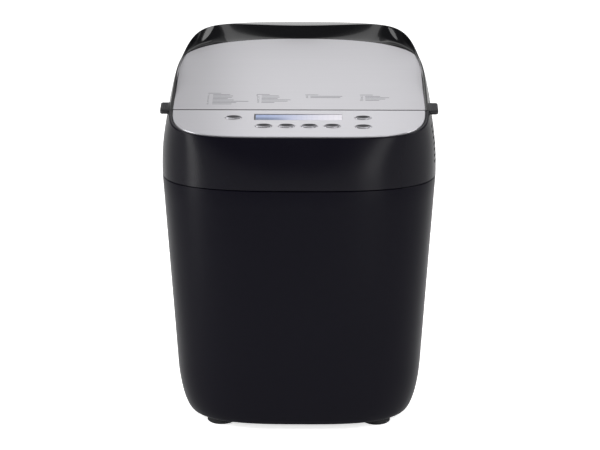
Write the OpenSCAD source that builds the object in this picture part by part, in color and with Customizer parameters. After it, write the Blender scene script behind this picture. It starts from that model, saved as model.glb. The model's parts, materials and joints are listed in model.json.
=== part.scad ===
// Bread machine: a moulded housing with a sloping top, a hinged lid, a heated
// chamber, a removable pan with a kneading blade, and a belt drive under it.
// Millimetres. X is to the right, Y to the rear and Z up. The origin is on the
// floor, in the middle of the footprint. Depths called "n" are measured square
// to the sloping top face, and "s" is the distance up the slope from its front edge.

/* [Housing] */
// Width of the housing at its seam
body_w = 275; // [268:1:285]
// Depth of the housing at its seam
body_d = 287; // [284:1:300]
// Height of the seam between the lower and upper housing
seam_z = 255; // [245:1:262]
// Height of the top face at its front edge
front_z = 306; // [302:1:320]
// Slope of the top face from front to rear, in degrees
top_slope = 12.7; // [12:0.1:14]
// How far the top edge leans in at each side, from the seam
side_flare = 8.7; // [5:0.1:10]
// How far the top edge leans in at the front
front_flare = 7; // [4:0.1:10]
// How far the top edge leans in at the rear
rear_flare = 9; // [5:0.1:10]
// Depth of the rounded front corners
front_corner = 88; // [75:1:95]
// Depth of the rounded rear corners
rear_corner = 148; // [130:1:150]
// Squareness of the corners, as a superellipse power
corner_power = 3; // [2.6:0.1:3.4]
// Squareness of the top face's front corners
top_power = 4.6; // [4:0.1:5]
// Wall of the moulded shells
shell_wall = 2.5; // [2:0.1:2.8]
// Inward draft of the lower sides, in degrees
side_draft = 3.63; // [2.5:0.01:4]
// Inward draft of the lower front and rear, in degrees
end_draft = 2.42; // [1.5:0.01:3]
// Height of the rounding at the foot of the sides
bottom_round_h = 50; // [45:1:60]
// How far that rounding pulls in at each side
bottom_round_w = 11.5; // [9:0.5:16]
// How far it pulls in at the front and rear
bottom_round_d = 7; // [3:0.5:10]
// Gap that shows as the seam line
seam_gap = 0.8; // [0.4:0.1:1.2]

/* [Feet and base] */
// Height of the rubber feet
foot_h = 7; // [5:0.5:10]
// Radius of the rubber feet
foot_r = 14.5; // [11:0.5:15]
// Distance of the feet from the middle, across
foot_x = 79; // [72:1:80]
// Distance of the feet from the middle, front to rear
foot_y = 95; // [85:1:97]
// Thickness of the base plate
base_t = 2.5; // [2:0.1:4]

/* [Top face] */
// Width of the dark rim round the metal plates
rim_w = 3.6; // [3:0.1:4.5]
// Distance from the front edge of the top to the lid line, up the slope
lid_line_s = 64; // [62:0.5:70]
// Rear end of the metal lid plate
plate_rear_y = 100; // [95:1:104]
// Depth of the rounded rear corners of the lid plate
plate_corner = 64; // [50:1:75]
// Thickness of the metal control panel
panel_t = 1.6; // [1:0.1:2]
// Thickness of the bed under the control panel
bed_t = 2.6; // [2:0.1:3.2]

/* [Keys and display] */
// Length of a key
key_l = 16.5; // [13:0.5:18]
// Width of a key
key_w = 9; // [7:0.5:10]
// Distance between the keys of the front row
key_pitch = 22.3; // [21:0.1:24]
// Distance of the front row from the front edge, up the slope
key_row_s = 28; // [26:0.5:30]
// Distance of the rear keys from the front edge
key_rear_s = 46.8; // [45:0.1:49]
// Distance of the side keys from the middle
key_side_x = 63.8; // [62:0.1:68]
// Travel of a key
key_travel = 0.6; // [0.4:0.1:0.8]
// Running gap round a key
key_gap = 0.35; // [0.3:0.05:0.5]
// Length of the display window
window_l = 87; // [70:1:88]
// Width of the display window
window_w = 14; // [12:0.5:15]

/* [Lid] */
// Depth of the lid's skirt
lid_skirt = 9.3; // [8.5:0.1:10]
// Gap between the lid's skirt and the housing
lid_gap = 1.1; // [0.8:0.1:1.5]
// Thickness of the lid's roof
roof_t = 2; // [1.6:0.1:2.4]
// Rise of the cowl above the rear edge of the top face
cowl_rise = 4.5; // [3:0.1:6]
// Depth of the ledge on the cowl
ledge_d = 22; // [15:1:24]
// Half the length of the ledge
ledge_half = 78; // [60:1:84]
// Reach of the finger tabs beyond the lid's edge
tab_reach = 9.8; // [8:0.1:12]
// Length of the finger tabs up the slope
tab_l = 20; // [15:1:25]
// Thickness of the finger tabs
tab_t = 4; // [3:0.1:5]

/* [Hinge] */
// Distance of the hinge line from the rear edge of the top face
hinge_inset = 10; // [9.5:0.1:11]
// Depth of the hinge line below the top face
hinge_drop = 5.8; // [5.4:0.1:6.2]
// Radius of the hinge pins
hinge_pin_r = 3; // [2.5:0.1:3.2]
// Radius of the housing lugs round the pins
lug_r = 8; // [7:0.1:8.2]
// Width of a lug
lug_w = 16; // [12:1:18]
// Distance of the lugs from the middle
lug_x = 48; // [44:1:52]
// Opening of the lid, in degrees
lid_open = 75; // [60:1:75]

/* [Chamber] */
// Inner width of the heated chamber
chamber_w = 184; // [180:1:186]
// Inner depth of the heated chamber
chamber_d = 150; // [146:1:152]
// Middle of the chamber, front to rear
chamber_y = 26; // [24:0.5:28]
// Inner corner radius of the chamber
chamber_r = 26; // [22:1:34]
// Height of the chamber's floor
chamber_z = 86; // [84:0.5:90]
// Sheet thickness of the chamber
chamber_t = 0.8; // [0.6:0.1:1.2]
// Air gap between the chamber and its heat shield
shield_gap = 6; // [5:0.5:7]
// Width of the chamber's flange
flange_w = 6; // [5:0.5:7]
// Radius of the heating tube
heater_r = 3.3; // [3:0.1:3.6]
// Height of the heating tube above the chamber's floor
heater_h = 32; // [28:1:40]

/* [Pan] */
// Gap between the pan's rim and the chamber's side walls
pan_side_gap = 8; // [7:0.5:10]
// Gap between the pan's rim and the chamber's front and rear walls
pan_end_gap = 10; // [9:0.5:12]
// Width that the pan loses to its draft
pan_draft_w = 11; // [8:0.5:13]
// Depth that the pan loses to its draft
pan_draft_d = 10; // [8:0.5:12]
// Height of the pan's body
pan_h = 148; // [135:1:150]
// Wall of the pan
pan_wall = 1.6; // [1.4:0.1:2]
// Corner radius of the pan
pan_r = 24; // [20:1:26]
// Length of the carrying handle's arms
handle_l = 58; // [52:1:60]
// Radius of the handle's wire
wire_r = 2.2; // [2:0.1:2.4]
// Radius of the handle's grip
grip_r = 5.5; // [4.5:0.1:6]
// Reach of the kneading blade
blade_l = 42; // [30:1:46]
// Height of the kneading blade
blade_h = 30; // [20:1:36]

/* [Drive] */
// Radius of the drive shaft under the chamber
drive_shaft_r = 5; // [4:0.1:5.5]
// Radius of the shaft in the pan
pan_shaft_r = 4; // [3.5:0.1:4.5]
// Clearance of the shafts in their bushes
bush_gap = 0.05; // [0.03:0.01:0.08]
// Radius of the large pulley
pulley_r = 46; // [40:1:50]
// Radius of the motor's pulley
motor_pulley_r = 8; // [7:0.5:9]
// Width of the belt
belt_w = 12; // [8:1:12]
// Radius of the motor's case
motor_r = 31; // [27:0.5:32]
// Height of the motor's case
motor_h = 54; // [48:1:60]
// Place of the motor, to the left of the middle
motor_x = 50; // [46:1:52]
// Place of the motor, in front of the middle
motor_y = 94; // [93:1:95]
// Radius of the motor's shaft
motor_shaft_r = 4; // [3:0.1:4.5]
// Height of the chassis plate
chassis_z = 40; // [38:0.5:42]

/* [Side vents] */
// Slots in the right side
slot_count = 7; // [5:1:7]
// Distance between slots
slot_pitch = 5.85; // [5:0.05:6]
// Height of a slot
slot_h = 2.6; // [2:0.1:3]
// Height of the top slot
slot_top_z = 306; // [303:0.5:306]
// Front end of the slots
slot_front_y = -86; // [-90:1:-80]
// Length of the slots
slot_l = 52; // [40:1:56]

/* [Hidden] */
$fn = 40;

// Colours of the finishes
dark_plastic = [0.11, 0.11, 0.125];
rim_plastic = [0.25, 0.25, 0.26];
brushed_metal = [0.78, 0.78, 0.79];
bare_steel = [0.6, 0.61, 0.63];
zinc_plate = [0.68, 0.69, 0.7];
dark_coat = [0.2, 0.2, 0.21];
rubber_black = [0.07, 0.07, 0.075];
board_green = [0.08, 0.3, 0.16];
brass_yellow = [0.72, 0.58, 0.3];
white_part = [0.9, 0.9, 0.87];
display_tint = [0.76, 0.76, 0.84];

// General allowances
fit_gap = 0.3;
thin_gap = 0.25;
tall = 420;
reach = 200;
cut_steps = 4;
flare_power = 2.6;
plate_power = 2.4;

// Frame of the top face
half_w = body_w / 2;
half_d = body_d / 2;
top_half = half_w - side_flare;
top_front_y = front_flare - half_d;
top_rear_y = half_d - rear_flare;
front_corner_y = top_front_y + front_corner;
rear_corner_y = top_rear_y - rear_corner;
plate_corner_y = plate_rear_y - plate_corner;
slope_cos = cos(top_slope);
slope_sin = sin(top_slope);
slope_tan = tan(top_slope);
cowl_z = front_z + (top_rear_y - top_front_y) * slope_tan + cowl_rise;
cowl_start_y = 50;
cowl_full_y = top_rear_y - 16.5;

// Levels square to the top face
edge_round = 0.8;
plate_floor_n = -1.4;
ceiling_n = plate_floor_n - roof_t;
bed_top_n = -panel_t;
bed_low_n = bed_top_n - bed_t;
skirt_n = -lid_skirt;
housing_edge_n = skirt_n - lid_gap;
flange_top_n = -19.1;
deck_top_n = flange_top_n - chamber_t;
deck_t = 2.5;
deck_low_n = deck_top_n - deck_t;
liner_low_n = -17.1;
liner_t = 1.1;
board_n = -12;
board_t = 1.6;

// Lid line
wall_face_s = lid_line_s - 0.4;
lid_face_s = lid_line_s + 0.4;
partition_t = 2;

// Levels from the floor
shell_z = foot_h;
base_top_z = shell_z + base_t;
chassis_t = 2;
chassis_top_z = chassis_z + chassis_t;
round_top_z = shell_z + bottom_round_h;
lip_w = 3;
tongue_h = 5;

// Hinge line
hinge_y = top_rear_y - hinge_inset;
hinge_z = front_z + (hinge_y - top_front_y) * slope_tan - hinge_drop;
knuckle_w = 5.5;
knuckle_r = 5.5;
knuckle_gap = 0.5;

// Pan levels
pan_base_z = chamber_z + fit_gap;
pan_base_h = 17.7;
pan_z = pan_base_z + pan_base_h;
pan_floor_z = pan_z + pan_wall;
pan_rim_z = pan_z + pan_h;
pan_base_r = 39.6;
handle_z = pan_rim_z + 5;

// ---------------------------------------------------------------- geometry

// Height of the top face at y
function plane_z(y) = front_z + (y - top_front_y) * slope_tan;

// Place on the sloping frame, as y and as z
function slope_y(s, n) = top_front_y + s * slope_cos - n * slope_sin;
function slope_z(s, n) = front_z + s * slope_sin + n * slope_cos;
function slope_s(y, n) = (y - top_front_y + n * slope_sin) / slope_cos;

// Smooth step from 0 at a to 1 at b
function ease(x, a, b) = let (t = min(1, max(0, (x - a) / (b - a)))) t * t * (3 - 2 * t);

// A point of the front right corner and one of the rear right corner, at angle u
function front_point(a, front_y, u, power) = let (b = front_corner_y - front_y)
    [a * pow(cos(u), 2 / power), front_corner_y - b * pow(sin(u), 2 / power)];
function rear_point(a, rear_y, u, start_y, power) = let (b = rear_y - start_y)
    [a * pow(cos(u), 2 / power), start_y + b * pow(sin(u), 2 / power)];

// Angles of the points round a corner, closer together where it meets the straight parts
corner_angles = [0, 2.5, for (u = [7.5:7.5:82.5]) u, 87.5, 90];
corner_steps = len(corner_angles) - 1;

// Right rear corner as a list of points
function rear_half(a, rear_y, start_y, power) =
    [for (u = corner_angles) rear_point(a, rear_y, u, start_y, power)];

// Closed outline of the housing, anticlockwise from the front middle
function outline(a, front_y, rear_y, power = corner_power) = let (
    half = concat(
        [for (k = [corner_steps:-1:0]) front_point(a, front_y, corner_angles[k], power)],
        rear_half(a, rear_y, rear_corner_y, corner_power)))
    concat(half, [for (i = [len(half) - 2:-1:1]) [-half[i].x, half[i].y]]);

// The same outline, cut straight across at cut_y: used for the lid
function cut_outline(a, front_y, rear_y, cut_y, start_y = rear_corner_y, power = corner_power) = let (
    share = max(0, (front_corner_y - cut_y) / (front_corner_y - front_y)),
    u0 = asin(min(1, pow(share, top_power / 2))),
    half = concat(
        [for (k = [0:cut_steps]) front_point(a, front_y, u0 * (1 - k / cut_steps), top_power)],
        rear_half(a, rear_y, start_y, power)))
    concat(half, [for (i = [len(half) - 2:-1:0]) [-half[i].x, half[i].y]]);

// Outline of the top face, and of the seam right under it, set in by t
function top_outline(t) = outline(top_half - t, top_front_y + t, top_rear_y - t, top_power);
function seam_outline(t) = outline(half_w - t, t - half_d, half_d - t);

// Flare share at height share v of the upper housing: 1 at the seam, 0 at the top
function flare(v) = 1 - pow(v, flare_power);

// Ring of the upper housing at height share v of the way to the top face
function upper_ring(v, t) = let (top = top_outline(t), out = seam_outline(t), g = flare(v))
    [for (i = [0:len(top) - 1]) let (p = top[i] + (out[i] - top[i]) * g)
        [p.x, p.y, seam_z + v * (plane_z(top[i].y) - seam_z)]];

// Ring of the upper housing at depth n under the top face
function upper_ring_n(n, t) = let (top = top_outline(t), out = seam_outline(t))
    [for (i = [0:len(top) - 1]) let (
        h = plane_z(top[i].y) - seam_z,
        g = flare(1 + n / slope_cos / h),
        p = top[i] + (out[i] - top[i]) * g)
        [p.x, p.y, plane_z(top[i].y) + n / slope_cos]];

// Plan of the space inside the upper housing, down to depth n and set in by t
module upper_plan(n, t) {
    intersection() {
        polygon(top_outline(t));
        polygon([for (p = upper_ring_n(n, t)) [p.x, p.y]]);
    }
}

// Outline of the lower housing at height z, set in by t
function round_share(z) = let (u = min(1, max(0, (round_top_z - z) / bottom_round_h))) 1 - sqrt(1 - u * u);
function lower_half(z) = half_w - max(0, seam_z - z) * tan(side_draft) - bottom_round_w * round_share(z);
function lower_end(z) = half_d - max(0, seam_z - z) * tan(end_draft) - bottom_round_d * round_share(z);
function lower_outline(z, t) = outline(lower_half(z) - t, t - lower_end(z), lower_end(z) - t);
function lower_ring(z, t, lift = 0) = [for (p = lower_outline(z, t)) [p.x, p.y, z + lift]];

// Height of the lower housing's rounding at angle u
function round_z(u) = round_top_z - bottom_round_h * sin(u);

// Rounded rectangle, anticlockwise
function rounded_rect(half_x, half_y, r, steps = 6) =
    [for (c = [0:3], i = [0:steps]) let (
        u = 90 * (c + i / steps),
        x = (c == 0 || c == 3) ? half_x - r : r - half_x,
        y = (c < 2) ? half_y - r : r - half_y)
        [x + r * cos(u), y + r * sin(u)]];

// Ellipse of full length l and width w
function ellipse(l, w, steps = 32) =
    [for (i = [0:steps - 1]) let (u = 360 * i / steps) [l / 2 * cos(u), w / 2 * sin(u)]];

// Quad faces between rings that each hold n points
function wall_faces(rings, n) =
    [for (i = [0:rings - 2], j = [0:n - 1]) let (k = (j + 1) % n)
        [i * n + j, (i + 1) * n + j, (i + 1) * n + k, i * n + k]];

// All rings in one list of points
function flat(rings) = [for (ring = rings) for (p = ring) p];

// Solid through rings, with its first and last ring closed
module skin_solid(rings) {
    n = len(rings[0]);
    last = (len(rings) - 1) * n;
    polyhedron(points = flat(rings), faces = concat(
        [[for (j = [0:n - 1]) j]],
        wall_faces(len(rings), n),
        [[for (j = [n - 1:-1:0]) last + j]]), convexity = 10);
}

// Solid through rings that close on themselves, like a tube wall
module skin_loop(rings) {
    n = len(rings[0]);
    last = (len(rings) - 1) * n;
    polyhedron(points = flat(rings), faces = concat(
        wall_faces(len(rings), n),
        [for (j = [0:n - 1]) let (k = (j + 1) % n) [last + j, j, k, last + k]]), convexity = 10);
}

// Frame of the top face: X right, Y up the slope, Z square out of it
module on_top() {
    translate([0, top_front_y, front_z]) rotate([top_slope, 0, 0]) children();
}

// Upright prism of the 2D children between two depths under the top face
module layer(low_n, high_n, s_from = -reach, s_to = 2 * reach) {
    intersection() {
        linear_extrude(height = tall) children();
        on_top() translate([-reach, s_from, low_n]) cube([2 * reach, s_to - s_from, high_n - low_n]);
    }
}

// Chamber's plan, let out by grow
module chamber_plan(grow) {
    translate([0, chamber_y])
        polygon(rounded_rect(chamber_w / 2 + grow, chamber_d / 2 + grow, chamber_r + grow));
}

// Ring of the chamber's plan between two amounts
module chamber_band(inner, outer) {
    difference() {
        chamber_plan(outer);
        chamber_plan(inner);
    }
}

// Round bar along X
module bar_x(r, x_from, x_to, y, z) {
    translate([x_from, y, z]) rotate([0, 90, 0]) cylinder(r = r, h = x_to - x_from);
}

// Copies at the left and right
module both_sides() {
    for (side = [0, 1]) mirror([side, 0, 0]) children();
}

// ---------------------------------------------------------------- feet and base

post_x = half_w - 46.5;
post_pitch = 65;
post_y = [front_corner_y + 4, front_corner_y + 4 + post_pitch];
post_r = 4.5;
screw_r = 1.5;
screw_head_r = 3;
leg_x = 72;
leg_y = [-45, 88];
leg_r = 6;

module rubber_feet() {
    color(rubber_black) both_sides() for (y = [-foot_y, foot_y]) translate([foot_x, y, 0]) difference() {
        union() {
            cylinder(r = foot_r - 1, h = 1);
            translate([0, 0, 1]) cylinder(r = foot_r, h = foot_h - 1);
        }
        translate([0, 0, -1]) cylinder(r = foot_r - 5, h = 2.5);
    }
}

module base_plate() {
    color(dark_plastic) difference() {
        translate([0, 0, shell_z]) linear_extrude(height = base_t)
            polygon(lower_outline(shell_z, lip_w + fit_gap));
        both_sides() for (y = post_y) translate([post_x, y, 0]) cylinder(r = screw_r + 0.1, h = base_top_z + 1);
        for (x = [-40:16:40]) translate([x - 2.5, half_d - 59.5, shell_z - 1]) cube([5, 26, base_t + 2]);
        for (x = [-40:16:40]) translate([x - 2.5, 31.5 - half_d, shell_z - 1]) cube([5, 26, base_t + 2]);
    }
}

module base_screws() {
    color(bare_steel) both_sides() for (y = post_y) translate([post_x, y, shell_z]) {
        cylinder(r = screw_r, h = 14);
        translate([0, 0, -1.6]) cylinder(r = screw_head_r, h = 1.6);
    }
}

// ---------------------------------------------------------------- housing shells

round_angles = [90, 75, 60, 45, 30, 15, 0];

// Middle of the lower shell's side wall at rounding angle u, as x and z
function wall_mid(u) = let (z = round_z(u), half_wall = shell_wall / 2)
    [lower_half(z) - half_wall * cos(u), z + half_wall * sin(u)];

// Screw post with the web that joins it to the side wall
module shell_post(y) {
    web_t = 2.4;
    web_low_z = base_top_z + 0.6;
    web_top = wall_mid(30);
    translate([post_x, y, base_top_z]) cylinder(r = post_r, h = web_top.y - base_top_z);
    translate([0, y + web_t / 2, 0]) rotate([90, 0, 0]) linear_extrude(height = web_t)
        polygon(concat([[post_x, web_low_z]], [for (u = [75, 60, 45, 30]) wall_mid(u)], [[post_x, web_top.y]]));
}

gland_x = -62;
gland_z = 52;
gland_r = 7;
cord_r = 3.6;

module lower_shell() {
    seam_low = seam_z - seam_gap / 2;
    tongue_in = shell_wall + 0.4;
    tongue_out = tongue_in + 1.7;
    color(dark_plastic) difference() {
        union() {
            skin_loop(concat(
                [for (u = round_angles) lower_ring(round_z(u), 0)],
                [lower_ring(seam_low, 0), lower_ring(seam_low, tongue_in),
                 lower_ring(seam_z + tongue_h, tongue_in), lower_ring(seam_z + tongue_h, tongue_out),
                 lower_ring(seam_z - 8, tongue_out), lower_ring(seam_z - 12, shell_wall)],
                [for (i = [len(round_angles) - 1:-1:1]) let (u = round_angles[i])
                    lower_ring(round_z(u), shell_wall * cos(u), shell_wall * sin(u))],
                [lower_ring(shell_z, lip_w, shell_wall), lower_ring(shell_z, lip_w)]));
            both_sides() for (y = post_y) shell_post(y);
        }
        both_sides() for (y = post_y) translate([post_x, y, 0]) cylinder(r = screw_r + 0.1, h = 24);
        translate([gland_x, half_d - 30, gland_z]) rotate([-90, 0, 0]) cylinder(r = gland_r + 0.2, h = 40);
    }
}

gland_depth = 14;
gland_l = 17;
gland_ring_w = 2.5;
module cord_gland() {
    inner_y = lower_end(gland_z) - shell_wall - gland_depth;
    color(rubber_black) translate([gland_x, inner_y, gland_z]) rotate([-90, 0, 0]) difference() {
        union() {
            cylinder(r = gland_r, h = gland_l);
            translate([0, 0, 1]) cylinder(r = gland_r + gland_ring_w, h = gland_ring_w);
        }
        translate([0, 0, -1]) cylinder(r = cord_r, h = gland_l + 2);
    }
}

trough_r = 15.6;
trough_half = 66;
outer_trough_r = 8.6;
outer_trough_half = 84;

module upper_shell() {
    lip_in = rim_w - thin_gap;
    top_ring = top_outline(edge_round);
    lip_ring = top_outline(lip_in);
    color(dark_plastic) difference() {
        skin_loop(concat(
            [for (v = [seam_gap / 2 / (front_z - seam_z), 0.3, 0.52, 0.7, 0.84, 0.93]) upper_ring(v, 0)],
            [upper_ring_n(-edge_round, 0),
             [for (p = top_ring) [p.x, p.y, plane_z(p.y)]],
             [for (p = lip_ring) [p.x, p.y, plane_z(p.y)]],
             [for (p = lip_ring) [p.x, p.y, plane_z(p.y) - panel_t / slope_cos]],
             upper_ring_n(-panel_t, shell_wall), upper_ring_n(-14, shell_wall)],
            [for (v = [0.52, 0.3, seam_gap / 2 / (front_z - seam_z)]) upper_ring(v, shell_wall)]));
        on_top() translate([-reach, lid_line_s - 0.2, housing_edge_n]) cube([2 * reach, 2 * reach, reach]);
        bar_x(trough_r, -trough_half, trough_half, hinge_y, hinge_z);
        bar_x(outer_trough_r, -outer_trough_half, outer_trough_half, hinge_y, hinge_z);
        for (i = [0:slot_count - 1]) translate([top_half - 22, slot_front_y, slot_top_z - i * slot_pitch - slot_h / 2])
            cube([40, slot_l, slot_h]);
    }
}

module side_vent_baffle() {
    baffle_t = 1.2;
    front = slope_y(lid_line_s - 1, deck_low_n);
    color(rubber_black) layer(deck_low_n - 34, deck_low_n)
        translate([top_half - 8, front]) square([baffle_t, slot_front_y + slot_l + 4 - front]);
}

// ---------------------------------------------------------------- control panel

module panel_cut(grow_n) {
    on_top() {
        translate([-0.6, key_rear_s + 1.3, 0]) translate([0, 0, grow_n])
            linear_extrude(height = -grow_n + 2) square([window_l, window_w], center = true);
    }
}

// Places of the keys on the slope, in node order
row_x0 = -0.6 - 1.5 * key_pitch;
key_places = concat(
    [[-0.6 - key_side_x, key_rear_s]],
    [for (i = [0:3]) [row_x0 + i * key_pitch, key_row_s]],
    [[key_side_x - 0.6, key_rear_s], [key_side_x - 0.6, key_row_s - 1.2]]);

// Holes for the keys through depth low_n
module key_holes(low_n) {
    on_top() for (place = key_places) translate([place.x, place.y, low_n])
        linear_extrude(height = 2 - low_n) polygon(ellipse(key_l + 2 * key_gap, key_w + 2 * key_gap));
}

window_s = key_rear_s + 1.3;
window_x = -0.6;
display_l = window_l - 4;
display_w = window_w - 3.5;

module control_panel() {
    color(brushed_metal) difference() {
        layer(bed_top_n, 0, -10, lid_line_s - 0.25) polygon(top_outline(rim_w));
        panel_cut(-panel_t - 1);
        key_holes(-panel_t - 1);
    }
}

bed_post_x = 72;
bed_post_s = [key_row_s - 10, key_rear_s + 9.2];

module control_housing() {
    color(dark_plastic) difference() {
        union() {
            layer(bed_low_n, bed_top_n, -10, wall_face_s) upper_plan(bed_low_n, shell_wall + fit_gap);
            layer(deck_top_n, bed_top_n, wall_face_s - partition_t, wall_face_s)
                upper_plan(deck_top_n, shell_wall + fit_gap);
            on_top() both_sides() for (s = bed_post_s) translate([bed_post_x, s, board_n])
                cylinder(r = 3, h = bed_low_n - board_n + 0.5);
        }
        on_top() translate([window_x - display_l / 2, window_s - display_w / 2, bed_low_n - 1])
            cube([display_l, display_w, bed_t + 2]);
        key_holes(bed_low_n - 1);
        on_top() both_sides() for (s = bed_post_s) translate([bed_post_x, s, board_n - 1])
            cylinder(r = 1.1, h = 6);
    }
}

module display_window() {
    color(display_tint) on_top() translate([window_x, window_s, bed_top_n])
        linear_extrude(height = panel_t - 0.2) square([window_l - 0.3, window_w - 0.3], center = true);
}

module display_module() {
    color(dark_coat) on_top() translate([window_x, window_s, 0]) {
        translate([-display_l / 2 - 4, -display_w / 2 - 4, board_n])
            cube([display_l + 8, display_w + 8, bed_low_n - board_n]);
        translate([fit_gap - display_l / 2, fit_gap - display_w / 2, bed_low_n])
            cube([display_l - 2 * fit_gap, display_w - 2 * fit_gap, bed_t - 0.1]);
    }
}

module control_board() {
    margin = 6;
    color(board_green) on_top() translate([0, 0, board_n - board_t]) difference() {
        translate([-bed_post_x - margin, bed_post_s[0] - margin, 0])
            cube([2 * (bed_post_x + margin), bed_post_s[1] - bed_post_s[0] + margin + 3.5, board_t]);
        both_sides() for (s = bed_post_s) translate([bed_post_x, s, -1]) cylinder(r = 1.1, h = board_t + 2);
    }
}

module board_screws() {
    color(bare_steel) on_top() both_sides() for (s = bed_post_s)
        translate([bed_post_x, s, board_n - board_t]) {
            cylinder(r = 1.1, h = board_t + 4.5);
            translate([0, 0, -1.5]) cylinder(r = 2.4, h = 1.5);
        }
}

key_top_n = 0.7;
key_flange_top_n = bed_low_n - 0.4;
key_low_n = key_flange_top_n - 0.9;
dome_top_n = key_low_n - key_travel - fit_gap;
dish_r = 32;
dish_depth = 0.9;

module keypad() {
    color(rubber_black) on_top() for (place = key_places) translate([place.x, place.y, board_n]) {
        cylinder(r = 4.4, h = 2.4);
        translate([0, 0, 2.4]) cylinder(r1 = 4.4, r2 = 3, h = 0.8);
        translate([0, 0, 3.2]) cylinder(r = 3, h = dome_top_n - board_n - 3.2);
    }
}

// Key: oval cap with a dished top and a flange that holds it under the bed
module key(index) {
    place = key_places[index];
    color(rim_plastic) on_top() translate([place.x, place.y, 0]) difference() {
        union() {
            translate([0, 0, key_low_n]) linear_extrude(height = key_top_n - key_low_n)
                polygon(ellipse(key_l, key_w));
            translate([0, 0, key_low_n]) linear_extrude(height = key_flange_top_n - key_low_n)
                polygon(ellipse(key_l + 2.6, key_w + 2.6));
        }
        translate([0, 0, key_top_n + dish_r - dish_depth]) sphere(r = dish_r, $fn = 96);
    }
}

module key_left() { key(0); }
module key_row_1() { key(1); }
module key_row_2() { key(2); }
module key_row_3() { key(3); }
module key_row_4() { key(4); }
module key_right_rear() { key(5); }
module key_right_front() { key(6); }

// ---------------------------------------------------------------- chassis, chamber and deck

standoff_x = [24, 84];
standoff_y = [-110, -76];
standoff_h = 10;
board_z = chassis_top_z + standoff_h;
seat_r = 11;

module chassis() {
    color(zinc_plate) difference() {
        union() {
            translate([0, 0, chassis_z]) linear_extrude(height = chassis_t)
                polygon(lower_outline(chassis_z, shell_wall + 4));
            both_sides() for (y = leg_y) translate([leg_x, y, base_top_z])
                cylinder(r = leg_r, h = chassis_z - base_top_z + 1);
            for (x = standoff_x, y = standoff_y) translate([x, y, chassis_top_z - 1])
                cylinder(r = 3, h = standoff_h + 1);
        }
        translate([0, chamber_y, chassis_z - 1]) cylinder(r = drive_shaft_r + 3.5, h = chassis_t + 2);
        translate([-motor_x, -motor_y, chassis_z - 1]) cylinder(r = motor_pulley_r + 3, h = chassis_t + 2);
        for (x = [-84:24:84]) translate([x - 7, half_d - 31.5, chassis_z - 1]) cube([14, 5, chassis_t + 2]);
    }
}

sensor_z = chamber_z + 64;
heater_z = chamber_z + heater_h;
heater_x = chamber_w / 2 - 6.5;
heater_d = chamber_d / 2 - 7;
heater_corner = 30;
heater_end_x = 14;
heater_bend = 8;
shield_in = chamber_t + shield_gap;
shield_t = 0.8;
bushing_r = 5;

// Holes for the heater's ends and for the sensor
module side_holes(extra) {
    both_sides() translate([heater_end_x, -reach, heater_z]) rotate([-90, 0, 0])
        cylinder(r = bushing_r + extra, h = reach + chamber_y);
    bar_x(3 + extra, -reach, 0, chamber_y, sensor_z);
}

module heat_shield() {
    color(zinc_plate) difference() {
        intersection() {
            translate([0, 0, chassis_top_z]) linear_extrude(height = tall)
                chamber_band(shield_in, shield_in + shield_t);
            on_top() translate([-reach, -reach, deck_low_n - 2 * reach]) cube([2 * reach, 4 * reach, 2 * reach]);
        }
        side_holes(0);
    }
}

module chamber_liner() {
    color(bare_steel) difference() {
        union() {
            intersection() {
                translate([0, 0, chamber_z - chamber_t]) linear_extrude(height = tall) chamber_plan(chamber_t);
                on_top() translate([-reach, -reach, flange_top_n - 2 * reach])
                    cube([2 * reach, 4 * reach, 2 * reach]);
            }
            layer(deck_top_n, flange_top_n) chamber_plan(chamber_t + flange_w);
        }
        translate([0, 0, chamber_z]) linear_extrude(height = tall) chamber_plan(0);
        translate([0, chamber_y, chamber_z - 2]) cylinder(r = drive_shaft_r + 3, h = 4);
        side_holes(0);
    }
}

// One hinge lug, standing on the deck
module hinge_lug() {
    bar_x(lug_r, lug_x - lug_w / 2, lug_x + lug_w / 2, hinge_y, hinge_z);
    foot_z = plane_z(hinge_y - lug_r) + deck_low_n / slope_cos + 0.5;
    translate([lug_x - lug_w / 2, hinge_y - lug_r, foot_z]) cube([lug_w, 2 * lug_r - 1.2, hinge_z - foot_z]);
}

deck_edge_gap = 1;
module top_frame() {
    shell_inside = upper_ring_n(deck_low_n, shell_wall + deck_edge_gap);
    deck_front_y = slope_y(wall_face_s - 4, deck_top_n);
    color(dark_plastic) difference() {
        union() {
            difference() {
                layer(deck_low_n, deck_top_n) intersection() {
                    polygon([for (p = shell_inside) [p.x, p.y]]);
                    translate([-reach, deck_front_y]) square(2 * reach);
                }
                linear_extrude(height = tall) chamber_plan(chamber_t + fit_gap);
            }
            both_sides() hinge_lug();
        }
        both_sides() bar_x(hinge_pin_r, lug_x - lug_w, lug_x + lug_w, hinge_y, hinge_z);
    }
}

module hinge_pins() {
    pin_half = lug_w / 2 + knuckle_gap + knuckle_w;
    color(bare_steel) both_sides() bar_x(hinge_pin_r, lug_x - pin_half, lug_x + pin_half, hinge_y, hinge_z);
}

// ---------------------------------------------------------------- heater

// Arc points round c, from angle u0 to u1
function arc(c, r, u0, u1, steps) =
    [for (i = [0:steps]) let (u = u0 + (u1 - u0) * i / steps) [c.x + r * cos(u), c.y + r * sin(u)]];

// Right half of the heating tube's path, from its end to the rear middle
heater_front_y = chamber_y - heater_d;
heater_rear_y = chamber_y + heater_d;
heater_half = concat(
    [[heater_end_x, heater_front_y - 22]],
    arc([heater_end_x + heater_bend, heater_front_y - heater_bend], heater_bend, 180, 90, 3),
    arc([heater_x - heater_corner, heater_front_y + heater_corner], heater_corner, -90, 0, 4),
    arc([heater_x - heater_corner, heater_rear_y - heater_corner], heater_corner, 0, 90, 4));
heater_path = concat(heater_half,
    [for (i = [len(heater_half) - 1:-1:0]) [-heater_half[i].x, heater_half[i].y]]);

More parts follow.
